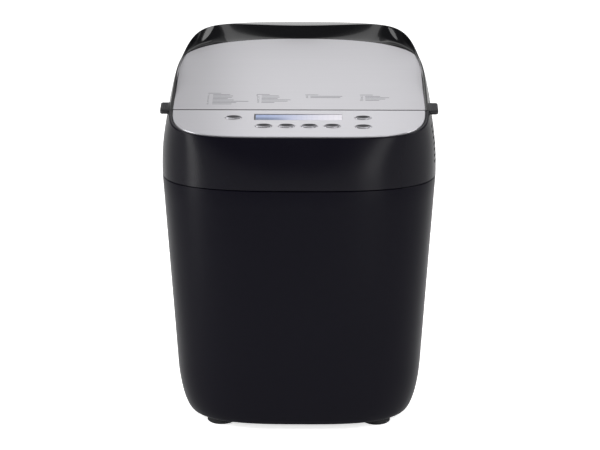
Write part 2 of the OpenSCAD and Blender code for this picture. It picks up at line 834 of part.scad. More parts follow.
// Ring of a level tube at point i of a flat path
function tube_ring(path, i, r, z, sides = 8) = let (
    ahead = path[min(i + 1, len(path) - 1)],
    back = path[max(i - 1, 0)],
    along = (ahead - back) / norm(ahead - back),
    across = [along.y, -along.x])
    [for (k = [0:sides - 1]) let (u = 360 * k / sides)
        [path[i].x + across.x * r * cos(u), path[i].y + across.y * r * cos(u), z + r * sin(u)]];

module heating_tube() {
    color(dark_coat) skin_solid([for (i = [0:len(heater_path) - 1]) tube_ring(heater_path, i, heater_r, heater_z)]);
}

module heater_clips() {
    clip_h = heater_z - heater_r - chamber_z;
    color(bare_steel) {
        both_sides() translate([heater_x - 3, chamber_y - 8, chamber_z]) cube([6, 16, clip_h]);
        translate([-8, heater_rear_y - 3, chamber_z]) cube([16, 6, clip_h]);
    }
}

module heater_bushings() {
    wall_y = chamber_y - chamber_d / 2;
    depth = chamber_t + shield_gap + shield_t;
    color(white_part) both_sides() translate([heater_end_x, wall_y - depth - 1, heater_z]) rotate([-90, 0, 0])
        difference() {
            cylinder(r = bushing_r, h = depth + 1);
            translate([0, 0, -1]) cylinder(r = heater_r + fit_gap, h = depth + 3);
        }
}

module temperature_sensor() {
    outer_x = chamber_w / 2 + shield_in + shield_t;
    color(bare_steel) {
        bar_x(3, -outer_x - 4, 8.5 - chamber_w / 2, chamber_y, sensor_z);
        difference() {
            bar_x(6, -outer_x - 2, -outer_x, chamber_y, sensor_z);
            bar_x(3, -outer_x - 3, -outer_x + 1, chamber_y, sensor_z);
        }
    }
}

module thermal_fuse() {
    color(white_part) translate([chamber_w / 2 + chamber_t, chamber_y - 5, chamber_z + 110]) cube([3.5, 10, 18]);
}

// ---------------------------------------------------------------- drive

pulley_low_z = base_top_z + 8.5;
pulley_h = belt_w + 4;
belt_z = pulley_low_z + 2;
bearing_r = 11;
bush_r = drive_shaft_r + 3;
coupler_r = 18;
coupler_z = chamber_z + 2;
coupler_t = 2.5;
shaft_low_z = base_top_z + 3;

module pan_seat() {
    seat_in = pan_base_r + 0.4;
    color(bare_steel) translate([0, chamber_y, chamber_z]) difference() {
        cylinder(r = seat_in + 8, h = 12, $fn = 64);
        translate([0, 0, -1]) cylinder(r = seat_in, h = 14, $fn = 64);
        for (u = [0:90:270]) rotate([0, 0, u + 45]) translate([seat_in - 2, -5, 6]) cube([14, 10, 8]);
    }
}

module drive_bearing() {
    floor_z = chamber_z - chamber_t;
    color(zinc_plate) translate([0, chamber_y, 0]) difference() {
        union() {
            translate([0, 0, chassis_top_z]) cylinder(r = bearing_r, h = floor_z - chassis_top_z);
            translate([0, 0, chassis_top_z]) cylinder(r = 22, h = 3);
            translate([0, 0, floor_z - 4]) cylinder(r = 24, h = 4);
            for (u = [0:90:270]) rotate([0, 0, u]) translate([0, -1.2, chassis_top_z])
                cube([18, 2.4, floor_z - chassis_top_z]);
        }
        translate([0, 0, chassis_z]) cylinder(r = bush_r, h = tall);
    }
}

module drive_bush() {
    color(brass_yellow) translate([0, chamber_y, chassis_top_z]) difference() {
        cylinder(r = bush_r, h = chamber_z + 0.5 - chassis_top_z);
        translate([0, 0, -1]) cylinder(r = drive_shaft_r + bush_gap, h = tall);
    }
}

module drive_shaft() {
    color(bare_steel) translate([0, chamber_y, shaft_low_z])
        cylinder(r = drive_shaft_r, h = coupler_z + coupler_t - shaft_low_z);
}

groove_pitch = 2.4;
groove_depth = 1;

// Half profile of a pulley with V grooves, from its axis out
function pulley_profile(r, h, count) = concat(
    [[0, 0], [r, 0]],
    [for (i = [0:count - 1]) let (z = h / 2 + (i - count / 2) * groove_pitch) each
        [[r, z + 0.3], [r - groove_depth, z + groove_pitch / 2], [r, z + groove_pitch - 0.3]]],
    [[r, h], [0, h]]);

module drive_pulley() {
    color(dark_plastic) translate([0, chamber_y, pulley_low_z]) difference() {
        rotate_extrude($fn = 96) polygon(pulley_profile(pulley_r, pulley_h, 4));
        translate([0, 0, -1]) cylinder(r = drive_shaft_r, h = pulley_h + 2);
        for (side = [0, 1]) translate([0, 0, side * (pulley_h - 5) - 1 + side]) difference() {
            cylinder(r = pulley_r - 6, h = 6);
            translate([0, 0, -1]) cylinder(r = drive_shaft_r + 7, h = 8);
        }
        for (u = [0:60:300]) rotate([0, 0, u]) translate([26, 0, -1]) cylinder(r = 8, h = pulley_h + 2);
    }
}

// Loop round both pulleys, let out by grow
module belt_loop(grow) {
    hull() {
        translate([0, chamber_y]) circle(r = pulley_r + grow, $fn = 64);
        translate([-motor_x, -motor_y]) circle(r = motor_pulley_r + grow, $fn = 32);
    }
}

module drive_belt() {
    color(rubber_black) translate([0, 0, belt_z]) linear_extrude(height = belt_w) difference() {
        belt_loop(fit_gap + 2.4);
        belt_loop(fit_gap);
    }
}

module drive_coupler() {
    color(bare_steel) translate([0, chamber_y, coupler_z]) difference() {
        union() {
            cylinder(r = coupler_r, h = coupler_t);
            for (u = [90, 270]) rotate([0, 0, u]) translate([11, -3.5, 0]) cube([6.2, 7, 9]);
        }
        translate([0, 0, -1]) cylinder(r = drive_shaft_r, h = coupler_t + 2);
    }
}

wing_z = coupler_z + coupler_t + 0.7;
blade_z = pan_floor_z + 4.4;

module pan_shaft() {
    color(bare_steel) translate([0, chamber_y, wing_z]) cylinder(r = pan_shaft_r, h = blade_z + 16 - wing_z);
}

module pan_coupler() {
    color(zinc_plate) translate([0, chamber_y, wing_z]) difference() {
        union() {
            cylinder(r = pan_shaft_r + 3, h = 7);
            translate([-16, -3.5, 0]) cube([32, 7, 6]);
        }
        translate([0, 0, -1]) cylinder(r = pan_shaft_r, h = 9);
    }
}

module kneading_blade() {
    hub_r = pan_shaft_r + 4.5;
    hub_h = 14;
    color(dark_coat) translate([0, chamber_y, blade_z]) difference() {
        union() {
            cylinder(r = hub_r, h = hub_h);
            translate([0, 0, hub_h]) cylinder(r1 = hub_r, r2 = hub_r - 3, h = 3);
            translate([0, 2.5, 0]) rotate([90, 0, 0]) linear_extrude(height = 5)
                polygon([[0, 0], [blade_l - 2, 0], [blade_l, 2], [blade_l - 4, 9],
                    [blade_l * 0.6, blade_h * 0.85], [blade_l * 0.4, blade_h], [blade_l * 0.25, blade_h], [0, hub_h]]);
        }
        translate([0, 0, -1]) cylinder(r = pan_shaft_r, h = 17);
    }
}

// ---------------------------------------------------------------- motor

case_t = 1.5;
rotor_r = 16.5;
fan_z = chassis_top_z + motor_h + 3;

module at_motor(z) {
    translate([-motor_x, -motor_y, z]) children();
}

module motor_case() {
    color(zinc_plate) at_motor(chassis_top_z) difference() {
        cylinder(r = motor_r, h = motor_h);
        translate([0, 0, 2]) cylinder(r = motor_r - case_t, h = motor_h - 4);
        translate([0, 0, -1]) cylinder(r = motor_shaft_r + bush_gap, h = motor_h + 2);
        for (u = [0:60:300]) rotate([0, 0, u]) translate([motor_r - 12, 0, motor_h - 3]) cylinder(r = 4, h = 5);
    }
}

module motor_stator() {
    stator_h = motor_h - 18;
    color(brass_yellow) at_motor(chassis_top_z + 9) difference() {
        cylinder(r = motor_r - case_t, h = stator_h);
        translate([0, 0, -1]) cylinder(r = rotor_r + 1, h = stator_h + 2);
        for (u = [0:45:315]) rotate([0, 0, u]) translate([rotor_r + 6.5, 0, -1]) cylinder(r = 3, h = stator_h + 2);
    }
}

// Rotor: core on its shaft, with the pulley below and the cooling fan above
module motor_rotor() {
    pulley_lift = pulley_low_z;
    color(bare_steel) {
        at_motor(pulley_lift - 2) cylinder(r = motor_shaft_r, h = fan_z + 9 - pulley_lift + 2);
        at_motor(chassis_top_z + 11) difference() {
            cylinder(r = rotor_r, h = motor_h - 22);
            translate([0, 0, -1]) cylinder(r = motor_shaft_r, h = motor_h);
        }
    }
    color(dark_plastic) {
        at_motor(pulley_lift) difference() {
            union() {
                rotate_extrude($fn = 64) polygon(pulley_profile(motor_pulley_r, pulley_h, 4));
                cylinder(r = motor_pulley_r + 2.5, h = 1.4);
            }
            translate([0, 0, -1]) cylinder(r = motor_shaft_r, h = pulley_h + 2);
        }
        at_motor(fan_z) difference() {
            union() {
                cylinder(r = 25, h = 1.2);
                cylinder(r = 7.5, h = 8);
                for (u = [0:40:320]) rotate([0, 0, u]) translate([6, -0.6, 0.6]) cube([18.5, 1.2, 7]);
            }
            translate([0, 0, -1]) cylinder(r = motor_shaft_r, h = 10);
        }
    }
}

// ---------------------------------------------------------------- power electronics

module power_board() {
    color(board_green) translate([standoff_x[0] - 5, standoff_y[0] - 5, board_z])
        cube([standoff_x[1] - standoff_x[0] + 10, standoff_y[1] - standoff_y[0] + 10, 1.6]);
}

module board_parts() {
    top = board_z + 1.6;
    color(dark_coat) {
        translate([22, -112, top]) cube([24, 20, 18]);
        translate([60, -112, top]) cube([20, 15, 15]);
        translate([66, -90, top]) cube([14, 12, 20]);
        translate([24, -84, top]) cube([16, 8, 9]);
    }
}

module capacitor() {
    color(board_green) translate([53, -84, board_z + 1.6]) cylinder(r = 7, h = 26);
}

// ---------------------------------------------------------------- lid

// Height of the lid's outer rim at y: on the top face in front, on the cowl behind
function rim_z(y) = let (plane = plane_z(y)) plane + (cowl_z - plane) * ease(y, cowl_start_y, cowl_full_y);

// Extra depth of the ledge at x, for points at the rear
function ledge_at(p) = p.y > 0 ? ledge_d * max(0, 1 - pow(p.x / ledge_half, 2)) : 0;

// Outline of the lid at inset t and flare share g, cut at s on depth n
function lid_outline(t, g, s, n) = cut_outline(top_half + g * side_flare - t,
    top_front_y - g * front_flare + t, top_rear_y + g * rear_flare - t, slope_y(s, n));

// Ring of the lid's skirt at depth n
function skirt_ring(n, t, s) = let (top = lid_outline(t, 0, s, n), out = lid_outline(t, 1, s, n))
    [for (i = [0:len(top) - 1]) let (
        g = flare(1 + n / slope_cos / (plane_z(top[i].y) - seam_z)),
        p = top[i] + (out[i] - top[i]) * g)
        [p.x, p.y, plane_z(p.y) + n / slope_cos]];

// Ring of the recess for the metal plate at depth n
function recess_ring(n) = let (s = lid_face_s + 0.4)
    [for (p = cut_outline(top_half - rim_w + thin_gap, top_front_y + rim_w, plate_rear_y + thin_gap,
        slope_y(s, n), plate_corner_y, plate_power)) [p.x, p.y, plane_z(p.y) + n / slope_cos]];

tab_s = lid_line_s + 3.5;
boss_out = 7.5;
boss_r = 3.4;
boss_places = [
    [chamber_w / 2 + boss_out, -30],
    [chamber_w / 2 + boss_out, 60],
    [chamber_w / 2 - chamber_r + (chamber_r + boss_out) * cos(60),
     chamber_y + chamber_d / 2 - chamber_r + (chamber_r + boss_out) * sin(60)],
    [40, chamber_y - chamber_d / 2 - boss_out]];
notch_half = lug_w / 2 + knuckle_gap + knuckle_w + 1;

// Opening in the lid round one hinge lug
module hinge_notch() {
    x_from = lug_x - notch_half;
    gap = 0.6;
    bar_x(lug_r + gap, x_from, x_from + 2 * notch_half, hinge_y, hinge_z);
    translate([x_from, hinge_y, hinge_z - 2 * lug_r]) cube([2 * notch_half, 3 * lug_r, 3 * lug_r + gap]);
}

// Finger tab with grip ribs on top
module finger_tab() {
    low_n = -2.5 - tab_t;
    side_x = top_half - 1;
    plan = rounded_rect((tab_reach + 1) / 2, tab_l / 2, 2.4, 3);
    on_top() translate([side_x + (tab_reach + 1) / 2, tab_s + tab_l / 2, low_n]) {
        linear_extrude(height = tab_t) polygon(plan);
        for (x = [-1, 1, 3]) translate([x - 0.3, 2 - tab_l / 2, tab_t - 0.5]) cube([0.8, tab_l - 4, 1]);
    }
}

module lid_shell() {
    inner_s = lid_face_s + shell_wall;
    rim = lid_outline(0, 0, lid_face_s, 0);
    rim_in = lid_outline(edge_round, 0, lid_face_s, 0);
    ledge = lid_outline(rim_w - thin_gap, 0, lid_face_s + 0.2, 0);
    recess = recess_ring(0);
    ledge_ring = [for (p = ledge) [p.x, p.y - ledge_at(p), rim_z(p.y)]];
    scoop_ring = [for (i = [0:len(recess) - 1]) let (
        p = ledge_ring[i] * 0.45 + recess[i] * 0.55,
        rise = ledge_ring[i].z - recess[i].z)
        [p.x, p.y, recess[i].z + 0.3 * rise]];
    color(dark_plastic) difference() {
        union() {
            skin_solid([
                skirt_ring(ceiling_n, shell_wall, inner_s),
                skirt_ring(skirt_n, shell_wall, inner_s),
                skirt_ring(skirt_n, 0, lid_face_s),
                skirt_ring(-5, 0, lid_face_s),
                [for (p = rim) [p.x, p.y, rim_z(p.y) - edge_round]],
                [for (p = rim_in) [p.x, p.y, rim_z(p.y)]],
                ledge_ring, scoop_ring, recess, recess_ring(plate_floor_n)]);
            both_sides() finger_tab();
            on_top() both_sides() for (place = boss_places)
                translate([place.x, slope_s(place.y, liner_low_n), liner_low_n + liner_t])
                    cylinder(r = boss_r, h = ceiling_n - liner_low_n - liner_t + 0.5);
        }
        both_sides() hinge_notch();
        on_top() both_sides() for (place = boss_places)
            translate([place.x, slope_s(place.y, liner_low_n), liner_low_n]) cylinder(r = screw_r + 0.1, h = 9);
        for (x = [-22:8.8:22]) translate([x - 2, hinge_y + 4, hinge_z - 2]) cube([4, 20, 6]);
    }
}

module lid_plate() {
    color(brushed_metal) layer(plate_floor_n, plate_floor_n + 1.3, lid_face_s + 0.65)
        polygon(outline_plate());
}

// Outline of the metal lid plate, whole
function outline_plate() = cut_outline(top_half - rim_w, top_front_y + rim_w, plate_rear_y,
    slope_y(lid_face_s - 6, 0), plate_corner_y, plate_power);

module lid_liner() {
    outer = 13;
    dome_in = -4;
    wall_t = 1.2;
    color(bare_steel) difference() {
        union() {
            layer(liner_low_n, liner_low_n + liner_t) chamber_plan(outer);
            layer(liner_low_n, liner_low_n + 5) chamber_band(outer - wall_t, outer);
            layer(liner_low_n, -8) chamber_plan(dome_in + wall_t);
        }
        layer(liner_low_n - 5, -8 - wall_t) chamber_plan(dome_in);
        on_top() both_sides() for (place = boss_places)
            translate([place.x, slope_s(place.y, liner_low_n), liner_low_n - 1]) cylinder(r = screw_r + 0.1, h = 6);
        on_top() for (x = [-30:10:30]) translate([x, slope_s(chamber_y + 55, 0), -12]) cylinder(r = 2, h = 8);
    }
}

module lid_gasket() {
    color(rubber_black) layer(flange_top_n + fit_gap, liner_low_n) chamber_band(0.5, 3.5);
}

module lid_hinge_arms() {
    plate_y = hinge_y - 26;
    plate_l = 13;
    arm_x = lug_w / 2 + knuckle_gap;
    color(zinc_plate) both_sides() difference() {
        union() {
            layer(ceiling_n - 2.5, ceiling_n) translate([lug_x - arm_x - knuckle_w, plate_y])
                square([2 * (arm_x + knuckle_w), plate_l]);
            for (x = [lug_x - arm_x - knuckle_w, lug_x + arm_x]) {
                layer(ceiling_n - 6, ceiling_n) translate([x, plate_y]) square([knuckle_w, hinge_y - plate_y]);
                bar_x(knuckle_r, x, x + knuckle_w, hinge_y, hinge_z);
            }
        }
        bar_x(hinge_pin_r + bush_gap, 0, reach, hinge_y, hinge_z);
        on_top() for (x = [-5.4, 5.4]) translate([lug_x + x, slope_s(plate_y + plate_l / 2, 0), -12])
            cylinder(r = screw_r, h = 10);
    }
}

module lid_screws() {
    plate_mid_y = hinge_y - 26 + 6.5;
    color(bare_steel) on_top() both_sides() {
        for (place = boss_places) translate([place.x, slope_s(place.y, liner_low_n), liner_low_n]) {
            cylinder(r = screw_r, h = 7);
            translate([0, 0, -1.5]) cylinder(r = screw_head_r, h = 1.5);
        }
        for (x = [-5.4, 5.4]) translate([lug_x + x, slope_s(plate_mid_y, 0), ceiling_n - 2.5]) {
            cylinder(r = screw_r, h = 2.4);
            translate([0, 0, -1.5]) cylinder(r = 2.6, h = 1.5);
        }
    }
}

// ---------------------------------------------------------------- pan

pan_w = chamber_w - 2 * pan_side_gap;
pan_d = chamber_d - 2 * pan_end_gap;

// Corner c of the pan's rounded rectangle, as points
function pan_corner(half_x, half_y, r, c) = let (
    x = (c == 0 || c == 3) ? half_x - r : r - half_x,
    y = (c < 2) ? half_y - r : r - half_y)
    arc([x, y], r, 90 * c, 90 * c + 90, 6);

// Ring of the pan at height share t: rounded rectangle grown by an amount
function pan_ring(t, grow, z) = let (
    half_x = pan_w / 2 - pan_draft_w / 2 * (1 - t) + grow,
    half_y = pan_d / 2 - pan_draft_d / 2 * (1 - t) + grow,
    points = [for (c = [0:3]) each pan_corner(half_x, half_y, pan_r + grow, c)])
    [for (p = points) [p.x, p.y + chamber_y, z]];

module bread_pan() {
    rim_out = 2;
    color(dark_coat) difference() {
        skin_solid([
            pan_ring(0, -4, pan_z),
            pan_ring(0, -1, pan_z + 1.2),
            pan_ring(0.03, 0, pan_z + 0.03 * pan_h),
            pan_ring(0.96, 0, pan_z + 0.96 * pan_h),
            pan_ring(1, rim_out, pan_rim_z - 4),
            pan_ring(1, rim_out, pan_rim_z),
            pan_ring(1, -pan_wall, pan_rim_z),
            pan_ring(0.12, -pan_wall, pan_z + 0.12 * pan_h),
            pan_ring(0.03, -pan_wall - 1.5, pan_floor_z + 3),
            pan_ring(0, -pan_wall - 5, pan_floor_z)]);
        translate([0, chamber_y, pan_z - 1]) cylinder(r = pan_shaft_r + 3, h = 6);
    }
}

module pan_base() {
    hollow_r = coupler_r + 2;
    color(zinc_plate) translate([0, chamber_y, pan_base_z]) difference() {
        cylinder(r = pan_base_r, h = pan_base_h, $fn = 64);
        translate([0, 0, -1]) cylinder(r = hollow_r, h = pan_base_h - 4);
        translate([0, 0, -1]) cylinder(r = pan_shaft_r + 3, h = pan_base_h + 2);
    }
}

module pan_bush() {
    color(brass_yellow) translate([0, chamber_y, pan_z - 4.5]) difference() {
        cylinder(r = pan_shaft_r + 3, h = pan_wall + 7);
        translate([0, 0, -1]) cylinder(r = pan_shaft_r + bush_gap, h = pan_wall + 9);
    }
}

module pan_seal() {
    color(rubber_black) translate([0, chamber_y, pan_z + pan_wall + 2.5]) difference() {
        cylinder(r = pan_shaft_r + 3.5, h = 1.5);
        translate([0, 0, -1]) cylinder(r = pan_shaft_r + fit_gap, h = 4);
    }
}

ear_x = pan_w / 2 - 1;
ear_half = 8;
ear_foot = 10;
ear_t = 1.8;
pivot_r = 2;

module pan_ears() {
    color(bare_steel) both_sides() difference() {
        union() {
            translate([ear_x - ear_t, chamber_y - ear_half, pan_rim_z])
                cube([ear_t, 2 * ear_half, handle_z - pan_rim_z]);
            bar_x(ear_half, ear_x - ear_t, ear_x, chamber_y, handle_z);
        }
        translate([ear_x - ear_t - 1, chamber_y - ear_foot, pan_rim_z - ear_foot])
            cube([ear_t + 2, 2 * ear_foot, ear_foot]);
        bar_x(pivot_r + bush_gap, ear_x - ear_t - 1, ear_x + 1, chamber_y, handle_z);
    }
}

arm_x = ear_x - ear_t - 1.1 - wire_r;
grip_y = chamber_y + handle_l;

module pan_handle() {
    color(bare_steel) both_sides() {
        translate([arm_x, chamber_y, handle_z]) rotate([-90, 0, 0]) cylinder(r = wire_r, h = handle_l);
        translate([arm_x, chamber_y, handle_z]) sphere(r = wire_r);
        translate([arm_x, grip_y, handle_z]) sphere(r = wire_r);
        bar_x(pivot_r, arm_x, ear_x + 1.2, chamber_y, handle_z);
        bar_x(pivot_r + 1.5, ear_x + 0.6, ear_x + 2.2, chamber_y, handle_z);
        bar_x(wire_r, -0.01, arm_x, grip_y, handle_z);
    }
}

module handle_grip() {
    grip_half = 46;
    color(dark_plastic) difference() {
        bar_x(grip_r, -grip_half, grip_half, grip_y, handle_z);
        bar_x(wire_r, -grip_half - 1, grip_half + 1, grip_y, handle_z);
    }
}

// ---------------------------------------------------------------- output

rubber_feet();
base_plate();
base_screws();
lower_shell();
upper_shell();
control_panel();
control_housing();
display_window();
display_module();
control_board();
board_screws();
keypad();
side_vent_baffle();
cord_gland();
chassis();
heat_shield();
chamber_liner();
top_frame();
hinge_pins();
heating_tube();
heater_clips();
heater_bushings();
temperature_sensor();
thermal_fuse();
pan_seat();
drive_bearing();
drive_bush();
drive_belt();
motor_case();
motor_stator();
power_board();
board_parts();
capacitor();
lid_shell();
lid_plate();
lid_liner();
lid_gasket();
lid_hinge_arms();
lid_screws();
bread_pan();
pan_base();
pan_bush();
pan_seal();
pan_ears();
pan_handle();
handle_grip();
drive_shaft();
drive_pulley();
drive_coupler();
pan_shaft();
pan_coupler();
kneading_blade();
motor_rotor();
key_left();
key_row_1();
key_row_2();
key_row_3();
key_row_4();
key_right_rear();
key_right_front();
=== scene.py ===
"""Looks of a bread machine: moulded housing, brushed lid and panel, keys, pan and insides.

Lengths are millimetres until add_object puts them into a mesh. A place on the sloping top face is
given by x across, s up the slope from its front edge, and n square to it, upwards. An inset is t.
"""
import json
import logging
import math
from dataclasses import dataclass, field
from enum import Enum
from typing import Any, Iterable, Sequence, Union

import bpy
import numpy as np
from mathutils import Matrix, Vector

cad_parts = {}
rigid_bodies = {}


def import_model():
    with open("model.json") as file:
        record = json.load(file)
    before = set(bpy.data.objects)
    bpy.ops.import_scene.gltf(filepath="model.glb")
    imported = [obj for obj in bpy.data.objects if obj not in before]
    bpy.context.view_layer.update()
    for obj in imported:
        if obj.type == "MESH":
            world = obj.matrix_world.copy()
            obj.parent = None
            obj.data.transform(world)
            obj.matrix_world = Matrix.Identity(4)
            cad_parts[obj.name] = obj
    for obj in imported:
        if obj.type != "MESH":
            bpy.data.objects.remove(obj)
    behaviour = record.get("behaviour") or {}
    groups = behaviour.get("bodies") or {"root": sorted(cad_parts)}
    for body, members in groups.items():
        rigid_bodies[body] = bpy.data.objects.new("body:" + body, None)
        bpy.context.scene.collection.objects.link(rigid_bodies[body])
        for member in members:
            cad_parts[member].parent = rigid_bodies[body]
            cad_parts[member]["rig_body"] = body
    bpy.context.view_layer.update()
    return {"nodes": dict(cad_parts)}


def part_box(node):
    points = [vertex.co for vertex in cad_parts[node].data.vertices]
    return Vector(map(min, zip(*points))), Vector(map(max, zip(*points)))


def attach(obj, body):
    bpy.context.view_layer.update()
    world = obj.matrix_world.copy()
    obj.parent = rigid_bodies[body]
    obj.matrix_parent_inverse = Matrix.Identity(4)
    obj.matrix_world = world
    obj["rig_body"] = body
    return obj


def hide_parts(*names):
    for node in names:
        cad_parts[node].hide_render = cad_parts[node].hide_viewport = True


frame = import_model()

log = logging.getLogger("bread_machine")
MM = 0.001
SCREEN_WHITE = 255
NODES: dict[str, bpy.types.Object] = frame["nodes"]
Tone = tuple[int, ...]


# ---------------------------------------------------------------- shader expressions


class Wire:
    """A shader socket that arithmetic can be written with; each operation adds its Math node."""

    def __init__(self, board: "Board", socket: bpy.types.NodeSocket) -> None:
        """Keeps the board that holds the nodes, and the output socket."""
        self.board = board
        self.socket = socket

    def _math(self, operation: str, *values: Any) -> "Wire":
        """Adds a Math node on the given values and returns its output."""
        return self.board.node("ShaderNodeMath", {"operation": operation}, dict(enumerate(values)))

    def __add__(self, other: Any) -> "Wire":
        """This socket plus another socket or number."""
        return self._math("ADD", self, other)

    __radd__ = __add__

    def __sub__(self, other: Any) -> "Wire":
        """This socket less another socket or number."""
        return self._math("SUBTRACT", self, other)

    def __rsub__(self, other: Any) -> "Wire":
        """A number less this socket."""
        return self._math("SUBTRACT", other, self)

    def __mul__(self, other: Any) -> "Wire":
        """This socket times another socket or number."""
        return self._math("MULTIPLY", self, other)

    __rmul__ = __mul__

    def larger(self, other: Any) -> "Wire":
        """The larger of this socket and another socket or number."""
        return self._math("MAXIMUM", self, other)

    def unsigned(self) -> "Wire":
        """This socket without its sign."""
        return self._math("ABSOLUTE", self)

    def ramp(self, low: float, high: float, at_low: float = 0.0, at_high: float = 1.0) -> "Wire":
        """Smooth step 3 q^2 - 2 q^3 of this value, where q is its share of the way up.

        Args:
            low: the value where the step begins.
            high: the value where it ends.
            at_low: the result at low and below.
            at_high: the result at high and above.

        Returns:
            The result.
        """
        inputs = {"Value": self, "From Min": low, "From Max": high}
        inputs |= {"To Min": at_low, "To Max": at_high}
        return self.board.node("ShaderNodeMapRange", {"interpolation_type": "SMOOTHSTEP"}, inputs)


@dataclass
class Board:
    """The nodes of one material, or of the world."""

    tree: bpy.types.NodeTree

    def node(
        self, kind: str, settings: dict[str, Any], inputs: dict[Any, Any], output: Any = 0
    ) -> Wire:
        """Adds one node.

        Args:
            kind: the node's type.
            settings: its properties, set before its sockets.
            inputs: values or wires for its input sockets, by name or number.
            output: which output to return, by name or number.

        Returns:
            The chosen output as a wire.
        """
        made = self.tree.nodes.new(kind)
        for name, value in settings.items():
            setattr(made, name, value)
        for name, value in inputs.items():
            if isinstance(value, Wire):
                self.tree.links.new(value.socket, made.inputs[name])
            else:
                made.inputs[name].default_value = value
        return Wire(self, made.outputs[output] if made.outputs else None)

    def place(self, scale: Sequence[float] = (1, 1, 1), turn: float = 0.0) -> Wire:
        """Object coordinates, scaled by axis and turned about X.

        Args:
            scale: factors on X, Y and Z, in cycles per metre.
            turn: angle about X in radians, taken off before the scaling.

        Returns:
            The mapped coordinate.
        """
        where = self.node("ShaderNodeTexCoord", {}, {}, "Object")
        if turn:
            turned = {"Vector": where, "Angle": -turn}
            where = self.node("ShaderNodeVectorRotate", {"rotation_type": "X_AXIS"}, turned)
        mapped = {"Vector": where, "Scale": scale}
        return self.node("ShaderNodeMapping", {"vector_type": "POINT"}, mapped)

    def axis(self, vector: Wire, name: str) -> Wire:
        """One axis of a vector."""
        return self.node("ShaderNodeSeparateXYZ", {}, {"Vector": vector}, name)

    def noise(
        self, where: Wire, scale: float = 1.0, detail: float = 2.0, rough: float = 0.5
    ) -> Wire:
        """Noise about 0.5 at a mapped place, with scale cycles in each of that place's units."""
        inputs = {"Vector": where, "Scale": scale, "Detail": detail, "Roughness": rough}
        return self.node("ShaderNodeTexNoise", {}, inputs)

    def grain(self, size_mm: float, detail: float = 2.0, rough: float = 0.5) -> Wire:
        """Noise whose features are about size_mm across."""
        return self.noise(self.place(), 1 / (size_mm * MM), detail, rough)

    def bands(self, direction: str, scale: float, **extra: float) -> Wire:
        """Sine bands from 0 to 1 that follow one another along an axis.

        Args:
            direction: the axis, X, Y or Z.
            scale: the texture's scale, about a third of the bands per metre.
            **extra: the texture's other sockets.

        Returns:
            The bands.
        """
        settings = {"wave_type": "BANDS", "bands_direction": direction}
        inputs = {"Vector": self.place(), "Scale": scale, **extra}
        return self.node("ShaderNodeTexWave", settings, inputs, "Fac")

    def mix(self, share: Any, low: Any, high: Any) -> Wire:
        """Colour between low and high by share; the numbers are the colour sockets of Mix."""
        inputs = {0: share, 6: rgba(low), 7: rgba(high)}
        return self.node("ShaderNodeMix", {"data_type": "RGBA"}, inputs, 2)

    def bump(self, height: Wire, depth_mm: float, strength: float = 1.0) -> Wire:
        """Normal bent by a height field whose full range is depth_mm."""
        inputs = {"Height": height, "Distance": depth_mm * MM, "Strength": strength}
        return self.node("ShaderNodeBump", {}, inputs)

    def principled(self, inputs: dict[str, Any]) -> Wire:
        """Principled shader with these inputs."""
        return self.node("ShaderNodeBsdfPrincipled", {}, inputs)

    def surface(self, shader: Wire, kind: str = "ShaderNodeOutputMaterial") -> None:
        """Ends the nodes in this shader."""
        self.node(kind, {}, {"Surface": shader})


def empty_board(owner: Union[bpy.types.Material, bpy.types.World]) -> Board:
    """Board on a material's or the world's nodes, cleared of those it starts with.

    Args:
        owner: the new material or world.

    Returns:
        Its board.
    """
    owner.use_nodes = True
    owner.node_tree.nodes.clear()
    return Board(owner.node_tree)


def rgba(colour: Any) -> Any:
    """Linear colour from screen levels: (c + 0.055) / 1.055 to the power 2.4, straight near black.

    Args:
        colour: levels of red, green and blue from 0 to 255, or a wire.

    Returns:
        Linear red, green, blue and 1; a wire is passed through.
    """
    if isinstance(colour, Wire):
        return colour
    share = np.asarray(colour[:3], float) / SCREEN_WHITE
    linear = np.where(share <= 0.04045, share / 12.92, ((share + 0.055) / 1.055) ** 2.4)
    return (*linear.tolist(), 1.0)


# ---------------------------------------------------------------- finishes


@dataclass(frozen=True)
class Finish:
    """A named finish in one main colour, given in screen levels from 0 to 255.

    A noise's mean is about a half, so the number taken off a roughness is about half of the most
    that the noises add to it.
    """

    name: str
    colour: Tone

    def lifted(self, step: int) -> Tone:
        """The colour, lighter by a step."""
        return tuple(min(SCREEN_WHITE, level + step) for level in self.colour)

    def dimmed(self, share: float) -> Tone:
        """The colour at a share of its level."""
        return tuple(int(level * share) for level in self.colour)

    def inputs(self, board: Board) -> dict[str, Any]:
        """What goes into the Principled shader; each finish gives its own."""
        raise NotImplementedError

    def make(self) -> bpy.types.Material:
        """Builds the material.

        Returns:
            The material, with this finish's inputs in a Principled shader.
        """
        material = bpy.data.materials.new(self.name)
        board = empty_board(material)
        board.surface(board.principled(self.inputs(board)))
        return material


@dataclass(frozen=True)
class MouldedPlastic(Finish):
    """Injection-moulded plastic: spark-eroded grain, slow gloss drift and faint specks of dust."""

    roughness: float = 0.4
    grain_mm: float = 0.5
    grain_depth_mm: float = 0.012
    specular: float = 0.3
    drift_per_m: float = 14.0
    dust_mm: float = 3.1

    def inputs(self, board: Board) -> dict[str, Any]:
        """Grain bumps and roughens the surface; dust and drift lighten it.

        Args:
            board: where the nodes go.

        Returns:
            What goes into the Principled shader, by socket.
        """
        grain = board.grain(self.grain_mm, 3.0, 0.6)
        drift = board.noise(board.place(), self.drift_per_m)
        dust = board.grain(self.dust_mm, 4.0, 0.7).ramp(0.7, 0.8)
        return {
            "Base Color": board.mix(dust * 0.35 + drift * 0.3, self.colour, self.lifted(7)),
            "Roughness": drift * 0.1 + grain * 0.06 + (self.roughness - 0.08),
            "Specular IOR Level": self.specular,
            "Normal": board.bump(grain, self.grain_depth_mm, 0.5),
        }


